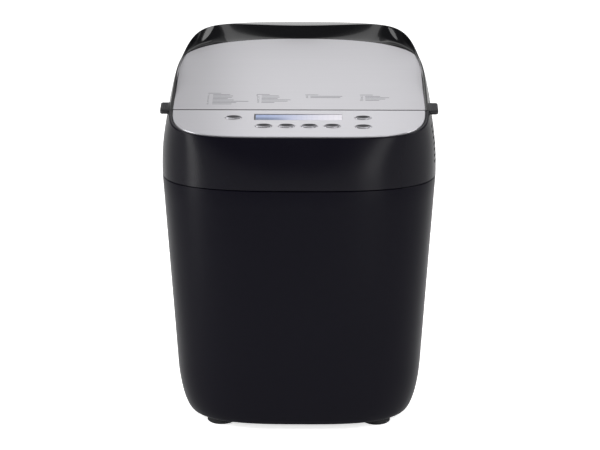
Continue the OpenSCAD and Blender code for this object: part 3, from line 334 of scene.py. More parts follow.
@dataclass(frozen=True)
class BrushedMetal(Finish):
    """Sheet metal with fine straight brush lines along X, on a face tilted about X."""

    roughness: float = 0.3
    metallic: float = 1.0
    tilt: float = 0.0
    line_mm: float = 0.35
    line_length_mm: float = 60.0
    line_depth_mm: float = 0.006
    cloud_per_m: float = 9.0

    def _stretched(self, board: Board, longer: float, wider: float) -> Wire:
        """Coordinates stretched along the brush lines, for lines that are longer and wider."""
        along, across = self.line_length_mm * MM * longer, self.line_mm * MM * wider
        return board.place((1 / along, 1 / across, 1 / across), self.tilt)

    def inputs(self, board: Board) -> dict[str, Any]:
        """Two noises stretched along the brush lines shade, roughen and bump the sheet.

        Args:
            board: where the nodes go.

        Returns:
            What goes into the Principled shader, by socket.
        """
        fine = board.noise(self._stretched(board, 1, 1), 1.0, 3.0, 0.7)
        broad = board.noise(self._stretched(board, 3, 9))
        cloud = board.noise(board.place(), self.cloud_per_m)
        return {
            "Base Color": board.mix(fine * 0.6 + broad * 0.4, self.dimmed(0.93), self.colour),
            "Metallic": self.metallic,
            "Roughness": fine * 0.12 + broad * 0.06 + cloud * 0.05 + (self.roughness - 0.11),
            "Normal": board.bump(fine, self.line_depth_mm, 0.6),
        }


@dataclass(frozen=True)
class PlateMetal(Finish):
    """Plain rolled or cast metal with a mottled zinc look, fine scratches and soft wear."""

    roughness: float = 0.35
    mottle_mm: float = 6.0
    mottle: float = 0.5
    scratch_per_m: tuple[float, float, float] = (90.0, 1500.0, 700.0)

    def inputs(self, board: Board) -> dict[str, Any]:
        """Voronoi spangle and a noise stretched into scratches.

        Args:
            board: where the nodes go.

        Returns:
            What goes into the Principled shader, by socket.
        """
        cells = {"Vector": board.place(), "Scale": 1 / (self.mottle_mm * MM), "Randomness": 1.0}
        spangle = board.node("ShaderNodeTexVoronoi", {"feature": "F1"}, cells, "Color")
        flake = board.axis(spangle, "X")
        scratch = board.noise(board.place(self.scratch_per_m), 1.0, 2.0, 0.7)
        darker = self.dimmed(1 - 0.16 * self.mottle)
        return {
            "Base Color": board.mix(flake * self.mottle + scratch * 0.3, darker, self.colour),
            "Metallic": 1.0,
            "Roughness": flake * 0.1 * self.mottle + scratch * 0.12 + (self.roughness - 0.06),
            "Normal": board.bump(scratch, 0.004, 0.4),
        }


@dataclass(frozen=True)
class CoatedMetal(Finish):
    """Baked non-stick coating: dark, softly glossy, speckled, with a fine orange-peel surface."""

    roughness: float = 0.33
    peel_mm: float = 0.9
    speck_mm: float = 0.6

    def inputs(self, board: Board) -> dict[str, Any]:
        """Orange peel bumps and roughens the coat, and specks lighten it.

        Args:
            board: where the nodes go.

        Returns:
            What goes into the Principled shader, by socket.
        """
        peel = board.grain(self.peel_mm)
        speck = board.grain(self.speck_mm, 3.0, 0.7).ramp(0.66, 0.74)
        return {
            "Base Color": board.mix(speck * 0.6, self.colour, self.lifted(46)),
            "Roughness": peel * 0.14 + (self.roughness - 0.07),
            "Specular IOR Level": 0.5,
            "Normal": board.bump(peel, 0.02, 0.5),
        }


@dataclass(frozen=True)
class SoftRubber(Finish):
    """Matt rubber or silicone with a faint bloom."""

    roughness: float = 0.75
    bloom_mm: float = 7.0
    grit_mm: float = 0.3

    def inputs(self, board: Board) -> dict[str, Any]:
        """Bloom lightens and roughens the rubber, and grit bumps it.

        Args:
            board: where the nodes go.

        Returns:
            What goes into the Principled shader, by socket.
        """
        bloom = board.grain(self.bloom_mm, 4.0, 0.6)
        return {
            "Base Color": board.mix(bloom, self.colour, self.lifted(14)),
            "Roughness": bloom * 0.14 + (self.roughness - 0.07),
            "Specular IOR Level": 0.3,
            "Normal": board.bump(board.grain(self.grit_mm), 0.02, 0.4),
        }


@dataclass(frozen=True)
class BoardLaminate(Finish):
    """Circuit board: solder mask over copper tracks that run in two directions."""

    colour: Tone = (22, 74, 44)
    track_mm: float = 2.4
    region_per_m: float = 60.0

    def inputs(self, board: Board) -> dict[str, Any]:
        """Bands of tracks show through the mask, lengthwise in some regions, else across.

        Args:
            board: where the nodes go.

        Returns:
            What goes into the Principled shader, by socket.
        """
        bent = {"Distortion": 5.0, "Detail": 1.0, "Detail Scale": 0.4}
        scale = 1 / (self.track_mm * MM) / 3
        lengthwise, crosswise = (board.bands(way, scale, **bent).ramp(0.72, 0.8) for way in "XY")
        region = board.noise(board.place(), self.region_per_m, 0.0).ramp(0.48, 0.52)
        tracks = lengthwise * region + crosswise * (1 - region)
        return {
            "Base Color": board.mix(tracks, self.colour, self.lifted(34)),
            "Roughness": tracks * -0.08 + 0.38,
            "Normal": board.bump(tracks, 0.03, 0.6),
        }


@dataclass(frozen=True)
class DisplayGlass(Finish):
    """Clear window over a pale liquid-crystal panel: bluish at its left end, lilac, then grey.

    The colour is that of its right end, and its edges are given in metres.
    """

    left: float
    right: float
    mid_y: float
    half_w: float
    left_colour: Tone = (112, 126, 160)
    low_colour: Tone = (64, 78, 106)
    cell_colour: Tone = (120, 130, 160)
    mask_colour: Tone = (26, 27, 32)
    cell_scale: float = 60.0

    def inputs(self, board: Board) -> dict[str, Any]:
        """The tint follows X, darker at the lower left, with a thin dark mask round the edge.

        Args:
            board: where the nodes go.

        Returns:
            What goes into the Principled shader, by socket.
        """
        x, y = (board.axis(board.place(), name) for name in "XY")
        up = y - self.mid_y
        share = x.ramp(self.left, self.right)
        tint = board.mix(share, self.left_colour, self.colour)
        mask_ends = up.unsigned().ramp(self.half_w - 0.9 * MM, self.half_w - 0.5 * MM)
        mask_top = up.ramp(self.half_w - 2.6 * MM, self.half_w - 1.6 * MM)
        mask_left = x.ramp(self.left + 1.2 * MM, self.left + 1.8 * MM, 1.0, 0.0)
        edge = (mask_ends * (1 - share) + mask_top * (0.85 - share * 0.5)).larger(mask_left)
        low = up.ramp(self.half_w * -0.5, self.half_w * 0.2, 1.0, 0.0)
        tint = board.mix(low * share.ramp(0.0, 0.45, 0.95, 0.0), tint, self.low_colour)
        cells = board.bands("X", self.cell_scale).ramp(0.9, 0.97)
        tint = board.mix(cells * 0.1, tint, self.cell_colour)
        return {
            "Base Color": board.mix(edge, tint, self.mask_colour),
            "Roughness": edge * 0.1 + 0.16,
            "Specular IOR Level": 0.3,
            "Coat Weight": 0.2,
            "Coat Roughness": 0.04,
        }


@dataclass(frozen=True)
class Windings(Finish):
    """Enamelled copper wound in close turns round a vertical axis."""

    colour: Tone = (168, 88, 44)
    turn_scale: float = 330.0

    def inputs(self, board: Board) -> dict[str, Any]:
        """Fine level rings polish and bump the copper, and paint shade into the grooves between
        the turns.

        Args:
            board: where the nodes go.

        Returns:
            What goes into the Principled shader, by socket.
        """
        turns = board.bands("Z", self.turn_scale, Distortion=0.6)
        return {
            # Painted shade: the colour falls to half in the grooves between the turns.
            "Base Color": board.mix(turns, self.dimmed(0.5), self.colour),
            "Metallic": 1.0,
            "Roughness": turns * -0.1 + 0.42,
            "Normal": board.bump(turns, 0.15, 0.8),
        }


@dataclass(frozen=True)
class PrintedInk(Finish):
    """Flat printed ink, slightly worn."""

    wear_mm: float = 0.4

    def inputs(self, board: Board) -> dict[str, Any]:
        """Wear lightens and roughens the ink.

        Args:
            board: where the nodes go.

        Returns:
            What goes into the Principled shader, by socket.
        """
        wear = board.grain(self.wear_mm)
        return {
            "Base Color": board.mix(wear, self.colour, self.lifted(22)),
            "Roughness": wear * 0.1 + 0.5,
            "Specular IOR Level": 0.3,
        }


# ---------------------------------------------------------------- mesh making


class Ends(Enum):
    """How a skin of rings ends."""

    LOOP = "the last ring joins the first"
    CAPPED = "both end rings are closed"


def add_object(name: str, points: Any, faces: Iterable[Sequence[int]]) -> bpy.types.Object:
    """Puts points and faces into a new object at the origin.

    Args:
        name: its name.
        points: array of point and xyz, in millimetres.
        faces: the points of each face, by number.

    Returns:
        The object.
    """
    mesh = bpy.data.meshes.new(name)
    mesh.from_pydata((np.asarray(points) * MM).tolist(), [], [list(map(int, f)) for f in faces])
    mesh.update()
    made = bpy.data.objects.new(name, mesh)
    bpy.context.scene.collection.objects.link(made)
    return made


def volume(points: np.ndarray, quads: np.ndarray) -> float:
    """Signed volume under a skin of quads: the sum of a . (b x c) over their triangles."""
    a, b, c, d = (points[quads[:, k]] for k in range(4))
    return float((np.cross(a, b) * c).sum() + (np.cross(a, c) * d).sum()) / 6


def skin(name: str, rings: Any, ends: Ends) -> bpy.types.Object:
    """Solid through closed rings: point (i, j) joins (i + 1, j) and (i, j + 1), and j wraps round.

    Args:
        name: the new object's name.
        rings: rings of the same count of points, in millimetres.
        ends: whether the end rings are closed or joined.

    Returns:
        The object, with its faces pointing outwards.
    """
    rings = np.asarray(rings, float)
    count, size = rings.shape[:2]
    points = rings.reshape(-1, 3)
    steps = count if ends is Ends.LOOP else count - 1
    i, j = np.meshgrid(np.arange(steps), np.arange(size), indexing="ij")
    k, n = (i + 1) % count, (j + 1) % size
    corners = [i * size + j, i * size + n, k * size + n, k * size + j]
    quads = closed = np.stack(corners, -1).reshape(-1, 4)
    caps = []
    if ends is Ends.CAPPED:
        caps = [np.arange(size)[::-1], np.arange(size) + (count - 1) * size]
        fans = [np.stack([np.full(size - 2, c[0]), c[1:-1], c[2:], c[2:]], -1) for c in caps]
        closed = np.concatenate([quads, *fans])
    if volume(points - points.mean(0), closed) < 0:
        quads = quads[:, ::-1]
        caps = [cap[::-1] for cap in caps]
    return add_object(name, points, [*quads, *caps])


def box(low: Sequence[float], high: Sequence[float]) -> bpy.types.Object:
    """Cutting block between two corners.

    Args:
        low: its lowest corner.
        high: its highest corner.

    Returns:
        The block.
    """
    (x0, y0, z0), (x1, y1, z1) = low, high
    square = ((x0, y0), (x1, y0), (x1, y1), (x0, y1))
    return skin("cutter", [[(x, y, z) for x, y in square] for z in (z0, z1)], Ends.CAPPED)


def rod(
    radius: float, start: Sequence[float], end: Sequence[float], sides: int = 72
) -> bpy.types.Object:
    """Cutting rod along X, Y or Z: a circle carried from one end to the other.

    Args:
        radius: its radius.
        start: middle of one end.
        end: middle of the other end, which differs on one axis only.
        sides: how many flats make the circle.

    Returns:
        The rod.
    """
    axis = int(np.argmax(np.abs(np.subtract(end, start))))
    u = np.linspace(0, 2 * np.pi, sides, endpoint=False)
    circle = np.zeros((sides, 3))
    circle[:, (axis + 1) % 3] = radius * np.cos(u)
    circle[:, (axis + 2) % 3] = radius * np.sin(u)
    return skin("cutter", [circle + start, circle + end], Ends.CAPPED)


def quarter_round(radius: float, count: int) -> np.ndarray:
    """Rounded edge: rows of inset r (1 - cos u) and drop r (1 - sin u), u from 0 to 90 degrees."""
    u = np.radians(np.linspace(0, 90, count))
    return radius * (1 - np.stack([np.cos(u), np.sin(u)], -1))


def rounded_rectangle(half_x: float, half_y: float, r: float, count: int) -> np.ndarray:
    """Rounded rectangle, anticlockwise: four quarter circles about its corner centres.

    Args:
        half_x: half its width.
        half_y: half its height.
        r: radius of its corners.
        count: points in each corner.

    Returns:
        Array of point and xy.
    """
    arcs = []
    for k, corner in enumerate(((1, 1), (-1, 1), (-1, -1), (1, -1))):
        u = np.linspace(0, np.pi / 2, count) + k * np.pi / 2
        centre = np.array(corner) * (half_x - r, half_y - r)
        arcs.append(centre + r * np.stack([np.cos(u), np.sin(u)], -1))
    return np.concatenate(arcs)


def carve(
    made: bpy.types.Object, cutters: Sequence[bpy.types.Object], operation: str = "DIFFERENCE"
) -> None:
    """Cuts every cutter out of a piece, or joins it on, and deletes the cutters.

    Args:
        made: the piece.
        cutters: closed objects that are used up.
        operation: the boolean modifier's operation.
    """
    for cutter in cutters:
        modifier = made.modifiers.new("cut", "BOOLEAN")
        modifier.operation = operation
        modifier.solver = "EXACT"
        modifier.object = cutter
    bpy.context.view_layer.update()
    cut = bpy.data.meshes.new_from_object(
        made.evaluated_get(bpy.context.evaluated_depsgraph_get())
    )
    made.modifiers.clear()
    made.data = cut
    for cutter in cutters:
        bpy.data.objects.remove(cutter)


def finish_piece(
    made: bpy.types.Object, material: bpy.types.Material, body: str,
    replaced: Sequence[str] = (), crease: float = 32.0,
) -> None:
    """Shades a piece smooth between creases, dresses it and puts it on its body.

    Args:
        made: the finished piece.
        material: its material.
        body: the body that it rides on.
        replaced: the nodes that it stands for.
        crease: angle in degrees past which an edge stays sharp.
    """
    made.data.materials.clear()
    made.data.materials.append(material)
    made.data.shade_smooth()
    made.data.set_sharp_from_angle(angle=math.radians(crease))
    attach(made, body)
    if replaced:
        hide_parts(*replaced)
    log.info("%s: %d faces on %s", made.name, len(made.data.polygons), body)


# ---------------------------------------------------------------- the housing's form


@dataclass(frozen=True)
class HousingForm:
    """Sizes of the moulded body, in millimetres, and the formulas of its surfaces.

    A power is that of a superellipse, where 2 is an ellipse and more is squarer. Far is past
    every edge of the machine.
    """

    half_w: float = 137.5
    half_d: float = 143.5
    seam_z: float = 255.0
    front_z: float = 306.0
    slope: float = math.radians(12.7)
    side_flare: float = 8.7
    front_flare: float = 7.0
    rear_flare: float = 9.0
    front_corner: float = 88.0
    rear_corner: float = 148.0
    corner_power: float = 3.0
    top_power: float = 4.6
    flare_power: float = 2.6
    plate_power: float = 2.4
    wall: float = 2.5
    side_draft: float = math.radians(3.63)
    end_draft: float = math.radians(2.42)
    round_h: float = 50.0
    round_w: float = 11.5
    round_d: float = 7.0
    shell_z: float = 7.0
    seam_gap: float = 0.8
    rim_w: float = 3.6
    thin_gap: float = 0.2
    lid_line_s: float = 64.0
    plate_rear_y: float = 100.0
    plate_corner: float = 64.0
    panel_t: float = 1.6
    skirt_n: float = -9.3
    housing_edge_n: float = -10.4
    cowl_rise: float = 4.5
    cowl_start_y: float = 50.0
    cowl_full_y: float = 118.0
    ledge_d: float = 22.0
    ledge_half: float = 78.0
    edge_r: float = 0.9
    hinge_y: float = 124.5
    hinge_z: float = 359.02
    far: float = 200.0
    corner_steps: int = 44
    side_steps: int = 14

    @property
    def top_half(self) -> float:
        """Half width of the top face."""
        return self.half_w - self.side_flare

    @property
    def top_front(self) -> float:
        """Y of the top face's front edge."""
        return self.front_flare - self.half_d

    @property
    def top_rear(self) -> float:
        """Y of the top face's rear edge."""
        return self.half_d - self.rear_flare

    @property
    def front_corner_y(self) -> float:
        """Y where the front corners begin."""
        return self.top_front + self.front_corner

    @property
    def rear_corner_y(self) -> float:
        """Y where the rear corners begin."""
        return self.top_rear - self.rear_corner

    @property
    def cowl_z(self) -> float:
        """Height of the rear cowl."""
        return self.plane_z(self.top_rear) + self.cowl_rise

    def plane_z(self, y: Any) -> Any:
        """Height of the sloping top face at y."""
        return self.front_z + (y - self.top_front) * math.tan(self.slope)

    def slope_y(self, s: Any, n: Any) -> Any:
        """Y of a place s up the slope at depth n."""
        return self.top_front + s * math.cos(self.slope) - n * math.sin(self.slope)

    def on_slope(self, x: Any, s: Any, n: Any) -> np.ndarray:
        """Points given on the sloping face, in the common frame.

        Args:
            x: how far across.
            s: how far up the slope.
            n: how far square to the face.

        Returns:
            Array of point and xyz.
        """
        x, s, n = np.broadcast_arrays(np.asarray(x, float), s, n)
        z = self.front_z + s * math.sin(self.slope) + n * math.cos(self.slope)
        return np.stack([x, self.slope_y(s, n), z], -1)

    def laid(self, flat: np.ndarray, n: float) -> np.ndarray:
        """Outline of x and y laid on the sloping face at depth n."""
        return np.column_stack([flat, self.plane_z(flat[:, 1]) + n / math.cos(self.slope)])

    def prism(self, flat: Any, low: float, high: float) -> bpy.types.Object:
        """Cutting block: an outline of x and s carried square to the face from low to high."""
        rings = [self.on_slope(*np.transpose(flat), n) for n in (low, high)]
        return skin("cutter", rings, Ends.CAPPED)

    def behind(self, s: float) -> list[tuple[float, float]]:
        """Outline of x and s round everything behind a line across the slope."""
        return [(-self.far, s), (self.far, s), (self.far, 2 * self.far), (-self.far, 2 * self.far)]

    def corner(self, count: int) -> np.ndarray:
        """Angles round a corner, spaced so that the points lie evenly along its superellipse.

        Args:
            count: how many.

        Returns:
            The angles in radians, from 0 to a right angle.
        """
        u = np.linspace(0, np.pi / 2, 4001)
        x, y = (side ** (2 / self.corner_power) for side in (np.cos(u), np.sin(u)))
        length = np.concatenate([[0], np.cumsum(np.hypot(np.diff(x), np.diff(y)))])
        return np.interp(np.linspace(0, length[-1], count), length, u)

    def bent(self, half: Any, start: Any, end: Any, u: np.ndarray, power: float) -> np.ndarray:
        """Superellipse quarter: x is half times cos u, y runs from start to end by sin u.

        Both the cosine and the sine are raised to 2 / power.

        Args:
            half: half width.
            start: y where the corner begins, at u = 0.
            end: y of the end's middle, at u = 90 degrees.
            u: the angles.
            power: squareness of the corner.

        Returns:
            Array of point and xy, one row of it per ring where the sizes are given per ring.
        """
        x = half * np.clip(np.cos(u), 0, 1) ** (2 / power)
        y = start + (end - start) * np.clip(np.sin(u), 0, 1) ** (2 / power)
        return np.stack(np.broadcast_arrays(x, y), -1)

    def closed(self, ahead: np.ndarray, behind: np.ndarray, cut: bool) -> np.ndarray:
        """Whole outline from the right halves of its front and rear, joined by straight sides.

        Args:
            ahead: the front part, from the front backwards.
            behind: the rear part, from the side to the rear middle.
            cut: whether the outline is cut across in front, where both ends are then kept.

        Returns:
            The outline with its mirror image, from the front right round to the front left.
        """
        share = np.linspace(0, 1, self.side_steps)[1:-1, None]
        side = ahead[..., -1:, :] * (1 - share) + behind[..., :1, :] * share
        right = np.concatenate([ahead, side, behind], -2)
        left = right[..., -2::-1, :] if cut else right[..., -2:0:-1, :]
        return np.concatenate([right, left * np.array([-1.0, 1.0])], -2)

    def outline(self, half: Any, front: Any, rear: Any, power: float = 3.0) -> np.ndarray:
        """Closed outline of the housing: superellipse corners joined by straight sides.

        Args:
            half: half width, one value or one per ring.
            front: y of the front middle.
            rear: y of the rear middle.
            power: squareness of the front corners.

        Returns:
            Array of ring, point and xy.
        """
        sizes = (np.atleast_1d(np.asarray(v, float))[:, None] for v in (half, front, rear))
        half, front, rear = np.broadcast_arrays(*sizes)
        u = self.corner(self.corner_steps)[None, :]
        ahead = self.bent(half, self.front_corner_y, front, u[:, ::-1], power)
        behind = self.bent(half, self.rear_corner_y, rear, u, self.corner_power)
        return self.closed(ahead, behind, cut=False)

    def top_outline(self, t: float) -> np.ndarray:
        """Outline of the top face, set in by t."""
        front, rear = self.top_front + t, self.top_rear - t
        return self.outline(self.top_half - t, front, rear, self.top_power)[0]

    def seam_outline(self, t: float) -> np.ndarray:
        """Outline of the housing at its seam, set in by t."""
        return self.outline(self.half_w - t, t - self.half_d, self.half_d - t)[0]

    def cut_outline(
        self, half: float, front: float, rear: float, cut_y: float, start: float, power: float
    ) -> np.ndarray:
        """The outline cut straight across at cut_y in front.

        Args:
            half: half width.
            front: y of the whole outline's front middle.
            rear: y of the rear middle.
            cut_y: where it is cut.
            start: y where the rear corners begin.
            power: power of the rear corners.

        Returns:
            Array of point and xy, from the front right corner round to the front left.
        """
        share = max(0.0, (self.front_corner_y - cut_y) / (self.front_corner_y - front))
        u = math.asin(min(1.0, share ** (self.top_power / 2))) * np.linspace(1, 0, 12)
        ahead = self.bent(half, self.front_corner_y, front, u, self.top_power)
        behind = self.bent(half, start, rear, self.corner(self.corner_steps + 16), power)
        return self.closed(ahead, behind, cut=True)

    def lid_outline(self, t: float, g: float, s: float, n: float) -> np.ndarray:
        """Outline of the lid.

        Args:
            t: how far it is set in.
            g: share of the flare that it is let out by.
            s: how far up the slope its front lies.
            n: depth at which its front lies.

        Returns:
            Array of point and xy.
        """
        return self.cut_outline(
            self.top_half + g * self.side_flare - t, self.top_front - g * self.front_flare + t,
            self.top_rear + g * self.rear_flare - t, self.slope_y(s, n), self.rear_corner_y,
            self.corner_power,
        )

    def flare(self, v: Any) -> Any:
        """Flare share at height share v of the upper housing: 1 at the seam, 0 at the top."""
        return 1 - np.clip(v, 0, None) ** self.flare_power

    def flared(self, inner: np.ndarray, outer: np.ndarray, n: float) -> np.ndarray:
        """Ring at depth n under the top face, between the top outline and the seam outline.

        Args:
            inner: the outline with none of the flare.
            outer: the outline with all of it.
            n: the depth.

        Returns:
            Array of point and xyz.
        """
        drop = n / math.cos(self.slope)
        top = self.plane_z(inner[:, 1])
        place = inner + (outer - inner) * self.flare(1 + drop / (top - self.seam_z))[:, None]
        return np.column_stack([place, top + drop])

    def rim_z(self, y: Any) -> Any:
        """Height of the lid's rim: the sloping plane in front, blending smoothly to the cowl.

        Args:
            y: where.

        Returns:
            Plane plus the smooth step 3 q^2 - 2 q^3 of the way to the cowl.
        """
        q = np.clip((y - self.cowl_start_y) / (self.cowl_full_y - self.cowl_start_y), 0, 1)
        plane = self.plane_z(y)
        return plane + (self.cowl_z - plane) * q * q * (3 - 2 * q)


@dataclass
class Housing:
    """Lower shell and upper shell.

    The tongue's corners are heights above the seam and insets past the wall, the groove's are
    insets past the rounded edge and depths, and a trough has a radius and a half length.
    """

    form: HousingForm
    plastic_low: bpy.types.Material
    plastic_top: bpy.types.Material
    lip_r: float = 0.7
    tongue: tuple[tuple[float, float], ...] = (
        (-0.4, 0.4), (5.0, 0.4), (5.0, 2.1), (-8.0, 2.1), (-12.0, 0.0)
    )
    floor_t: float = 3.0
    groove: tuple[tuple[float, float], ...] = ((0.2, -0.01), (1.5, -0.32))
    lip_n: float = -1.1
    ceiling_n: float = -14.0
    inner_shares: tuple[float, ...] = (0.6, 0.3)
    seat_gap: float = 0.2
    arm_trough: tuple[float, float] = (15.6, 66.0)
    pin_trough: tuple[float, float] = (8.6, 84.0)
    slot_reach: tuple[float, float] = (-22.0, 18.0)
    slot_count: int = 7
    slot_pitch: float = 5.85
    slot_h: float = 2.6
    slot_top_z: float = 306.0
    slot_front_y: float = -86.0
    slot_l: float = 52.0
    gland_x: float = -62.0
    gland_z: float = 52.0
    gland_r: float = 7.2
    gland_y: tuple[float, float] = (100.0, 160.0)
    flare_from_n: float = -5.0

    def _lower_rings(self, z: np.ndarray, t: np.ndarray, lift: np.ndarray) -> np.ndarray:
        """Rings of the lower housing: drafted walls whose foot rounds in on a quarter ellipse.

        The half width at z is the seam's, less the draft, less round_w times 1 - sqrt(1 - u^2).
        There u is how far z lies below the top of the rounding, as a share of its height.

        Args:
            z: height of the formula for each ring.
            t: its inset.
            lift: how far it is then raised.

        Returns:
            Array of ring, point and xyz.
        """
        f = self.form
        u = np.clip((f.shell_z + f.round_h - z) / f.round_h, 0, 1)
        share = 1 - np.sqrt(1 - u * u)
        below = np.maximum(0, f.seam_z - z)
        half = f.half_w - below * math.tan(f.side_draft) - f.round_w * share - t
        end = f.half_d - below * math.tan(f.end_draft) - f.round_d * share - t
        flat = f.outline(half, -end, end)
        height = np.broadcast_to((z + lift)[:, None, None], (*flat.shape[:2], 1))
        return np.concatenate([flat, height], -1)

    def lower_shell(self) -> None:
        """Lower shell: outer wall, rounded lip at the seam, tongue, and the inner wall back down.

        Each row holds a ring's height, inset and lift. The foot's inner rows are the outer ones
        moved by the wall's thickness round the quarter circle, to the opening in the bottom.
        """
        f = self.form
        low = f.seam_z - f.seam_gap / 2
        turn = np.radians(np.linspace(90, 0, 26))
        foot = f.shell_z + f.round_h * (1 - np.sin(turn))
        rows = [(z, 0.0, 0.0) for z in (*foot, *np.linspace(foot[-1], low - self.lip_r, 12)[1:])]
        rows += [(low - drop, t, 0.0) for t, drop in quarter_round(self.lip_r, 6)[1:]]
        rows += [(f.seam_z + rise, f.wall + t, 0.0) for rise, t in self.tongue]
        back = turn[::-3]
        z = f.shell_z + f.round_h * (1 - np.sin(back))
        rows += zip(z, f.wall * np.cos(back), f.wall * np.sin(back))
        rows[-1] = (rows[-1][0], self.floor_t, rows[-1][2])
        rows.append((f.shell_z, self.floor_t, 0.0))
        made = skin("lower_housing", self._lower_rings(*np.transpose(rows)), Ends.LOOP)
        hole = [(self.gland_x, y, self.gland_z) for y in self.gland_y]
        carve(made, [rod(self.gland_r, *hole, 48)])
        finish_piece(made, self.plastic_low, "root", ["lower_shell"])

    def upper_shell(self) -> None:
        """Upper shell: flared wall, rounded top edge and lip; then the seat, troughs and slots.

        The outline at height share v of the wall is the top outline let out by 1 - v^2.6 of the
        flare.
        """
        f = self.form
        height = f.plane_z(f.top_outline(0.0)[:, 1]) - f.seam_z
        v_low = f.seam_gap / 2 / (f.front_z - f.seam_z)
        v_top = 1 - f.edge_r / math.cos(f.slope) / height
        lip = f.rim_w - f.thin_gap
        inner = [(f.edge_r + t, n) for t, n in self.groove]
        inner += [(lip, self.lip_n), (lip, -f.panel_t)]
        inner += [(f.wall, -f.panel_t), (f.wall, self.ceiling_n)]
        rings = [self._wall_ring(v_low + (v_top - v_low) * share, height)
                 for share in 1 - (1 - np.linspace(0, 1, 30)) ** 1.5]
        rings += [self._top_ring(t, -drop) for t, drop in quarter_round(f.edge_r, 6)[1:]]
        rings += [self._top_ring(t, n) for t, n in inner]
        rings += [self._wall_ring(np.full(len(height), v), height, f.wall)
                  for v in (*self.inner_shares, v_low)]
        made = skin("upper_housing", rings, Ends.LOOP)
        seat = f.prism(f.behind(f.lid_line_s - self.seat_gap), f.housing_edge_n, f.far)
        troughs = [rod(r, (-half, f.hinge_y, f.hinge_z), (half, f.hinge_y, f.hinge_z))
                   for r, half in (self.arm_trough, self.pin_trough)]
        inside, outside = (f.top_half + reach for reach in self.slot_reach)
        rear_y, half_h = self.slot_front_y + self.slot_l, self.slot_h / 2
        slots = [box((inside, self.slot_front_y, z - half_h), (outside, rear_y, z + half_h))
                 for z in self.slot_top_z - self.slot_pitch * np.arange(self.slot_count)]
        carve(made, [seat, *troughs, *slots])
        finish_piece(made, self.plastic_top, "root", ["upper_shell"])

    def _wall_ring(self, v: np.ndarray, height: np.ndarray, t: float = 0.0) -> np.ndarray:
        """Ring of the upper wall.

        Args:
            v: height share of each point.
            height: height of the wall at each point.
            t: how far the ring is set in.

        Returns:
            Array of point and xyz.
        """
        f = self.form
        top = f.top_outline(t)
        place = top + (f.seam_outline(t) - top) * f.flare(v)[:, None]
        return np.column_stack([place, f.seam_z + v * height])

    def _top_ring(self, t: float, n: float) -> np.ndarray:
        """Ring near the top face: on the face inside the lip, and on the flared wall otherwise.

        Args:
            t: how far it is set in.
            n: its depth.

        Returns:
            Array of point and xyz.
        """
        f = self.form
        top = f.top_outline(t)
        if t > f.rim_w / 2 and n > self.flare_from_n:
            return f.laid(top, n)
        return f.flared(top, f.seam_outline(t), n)


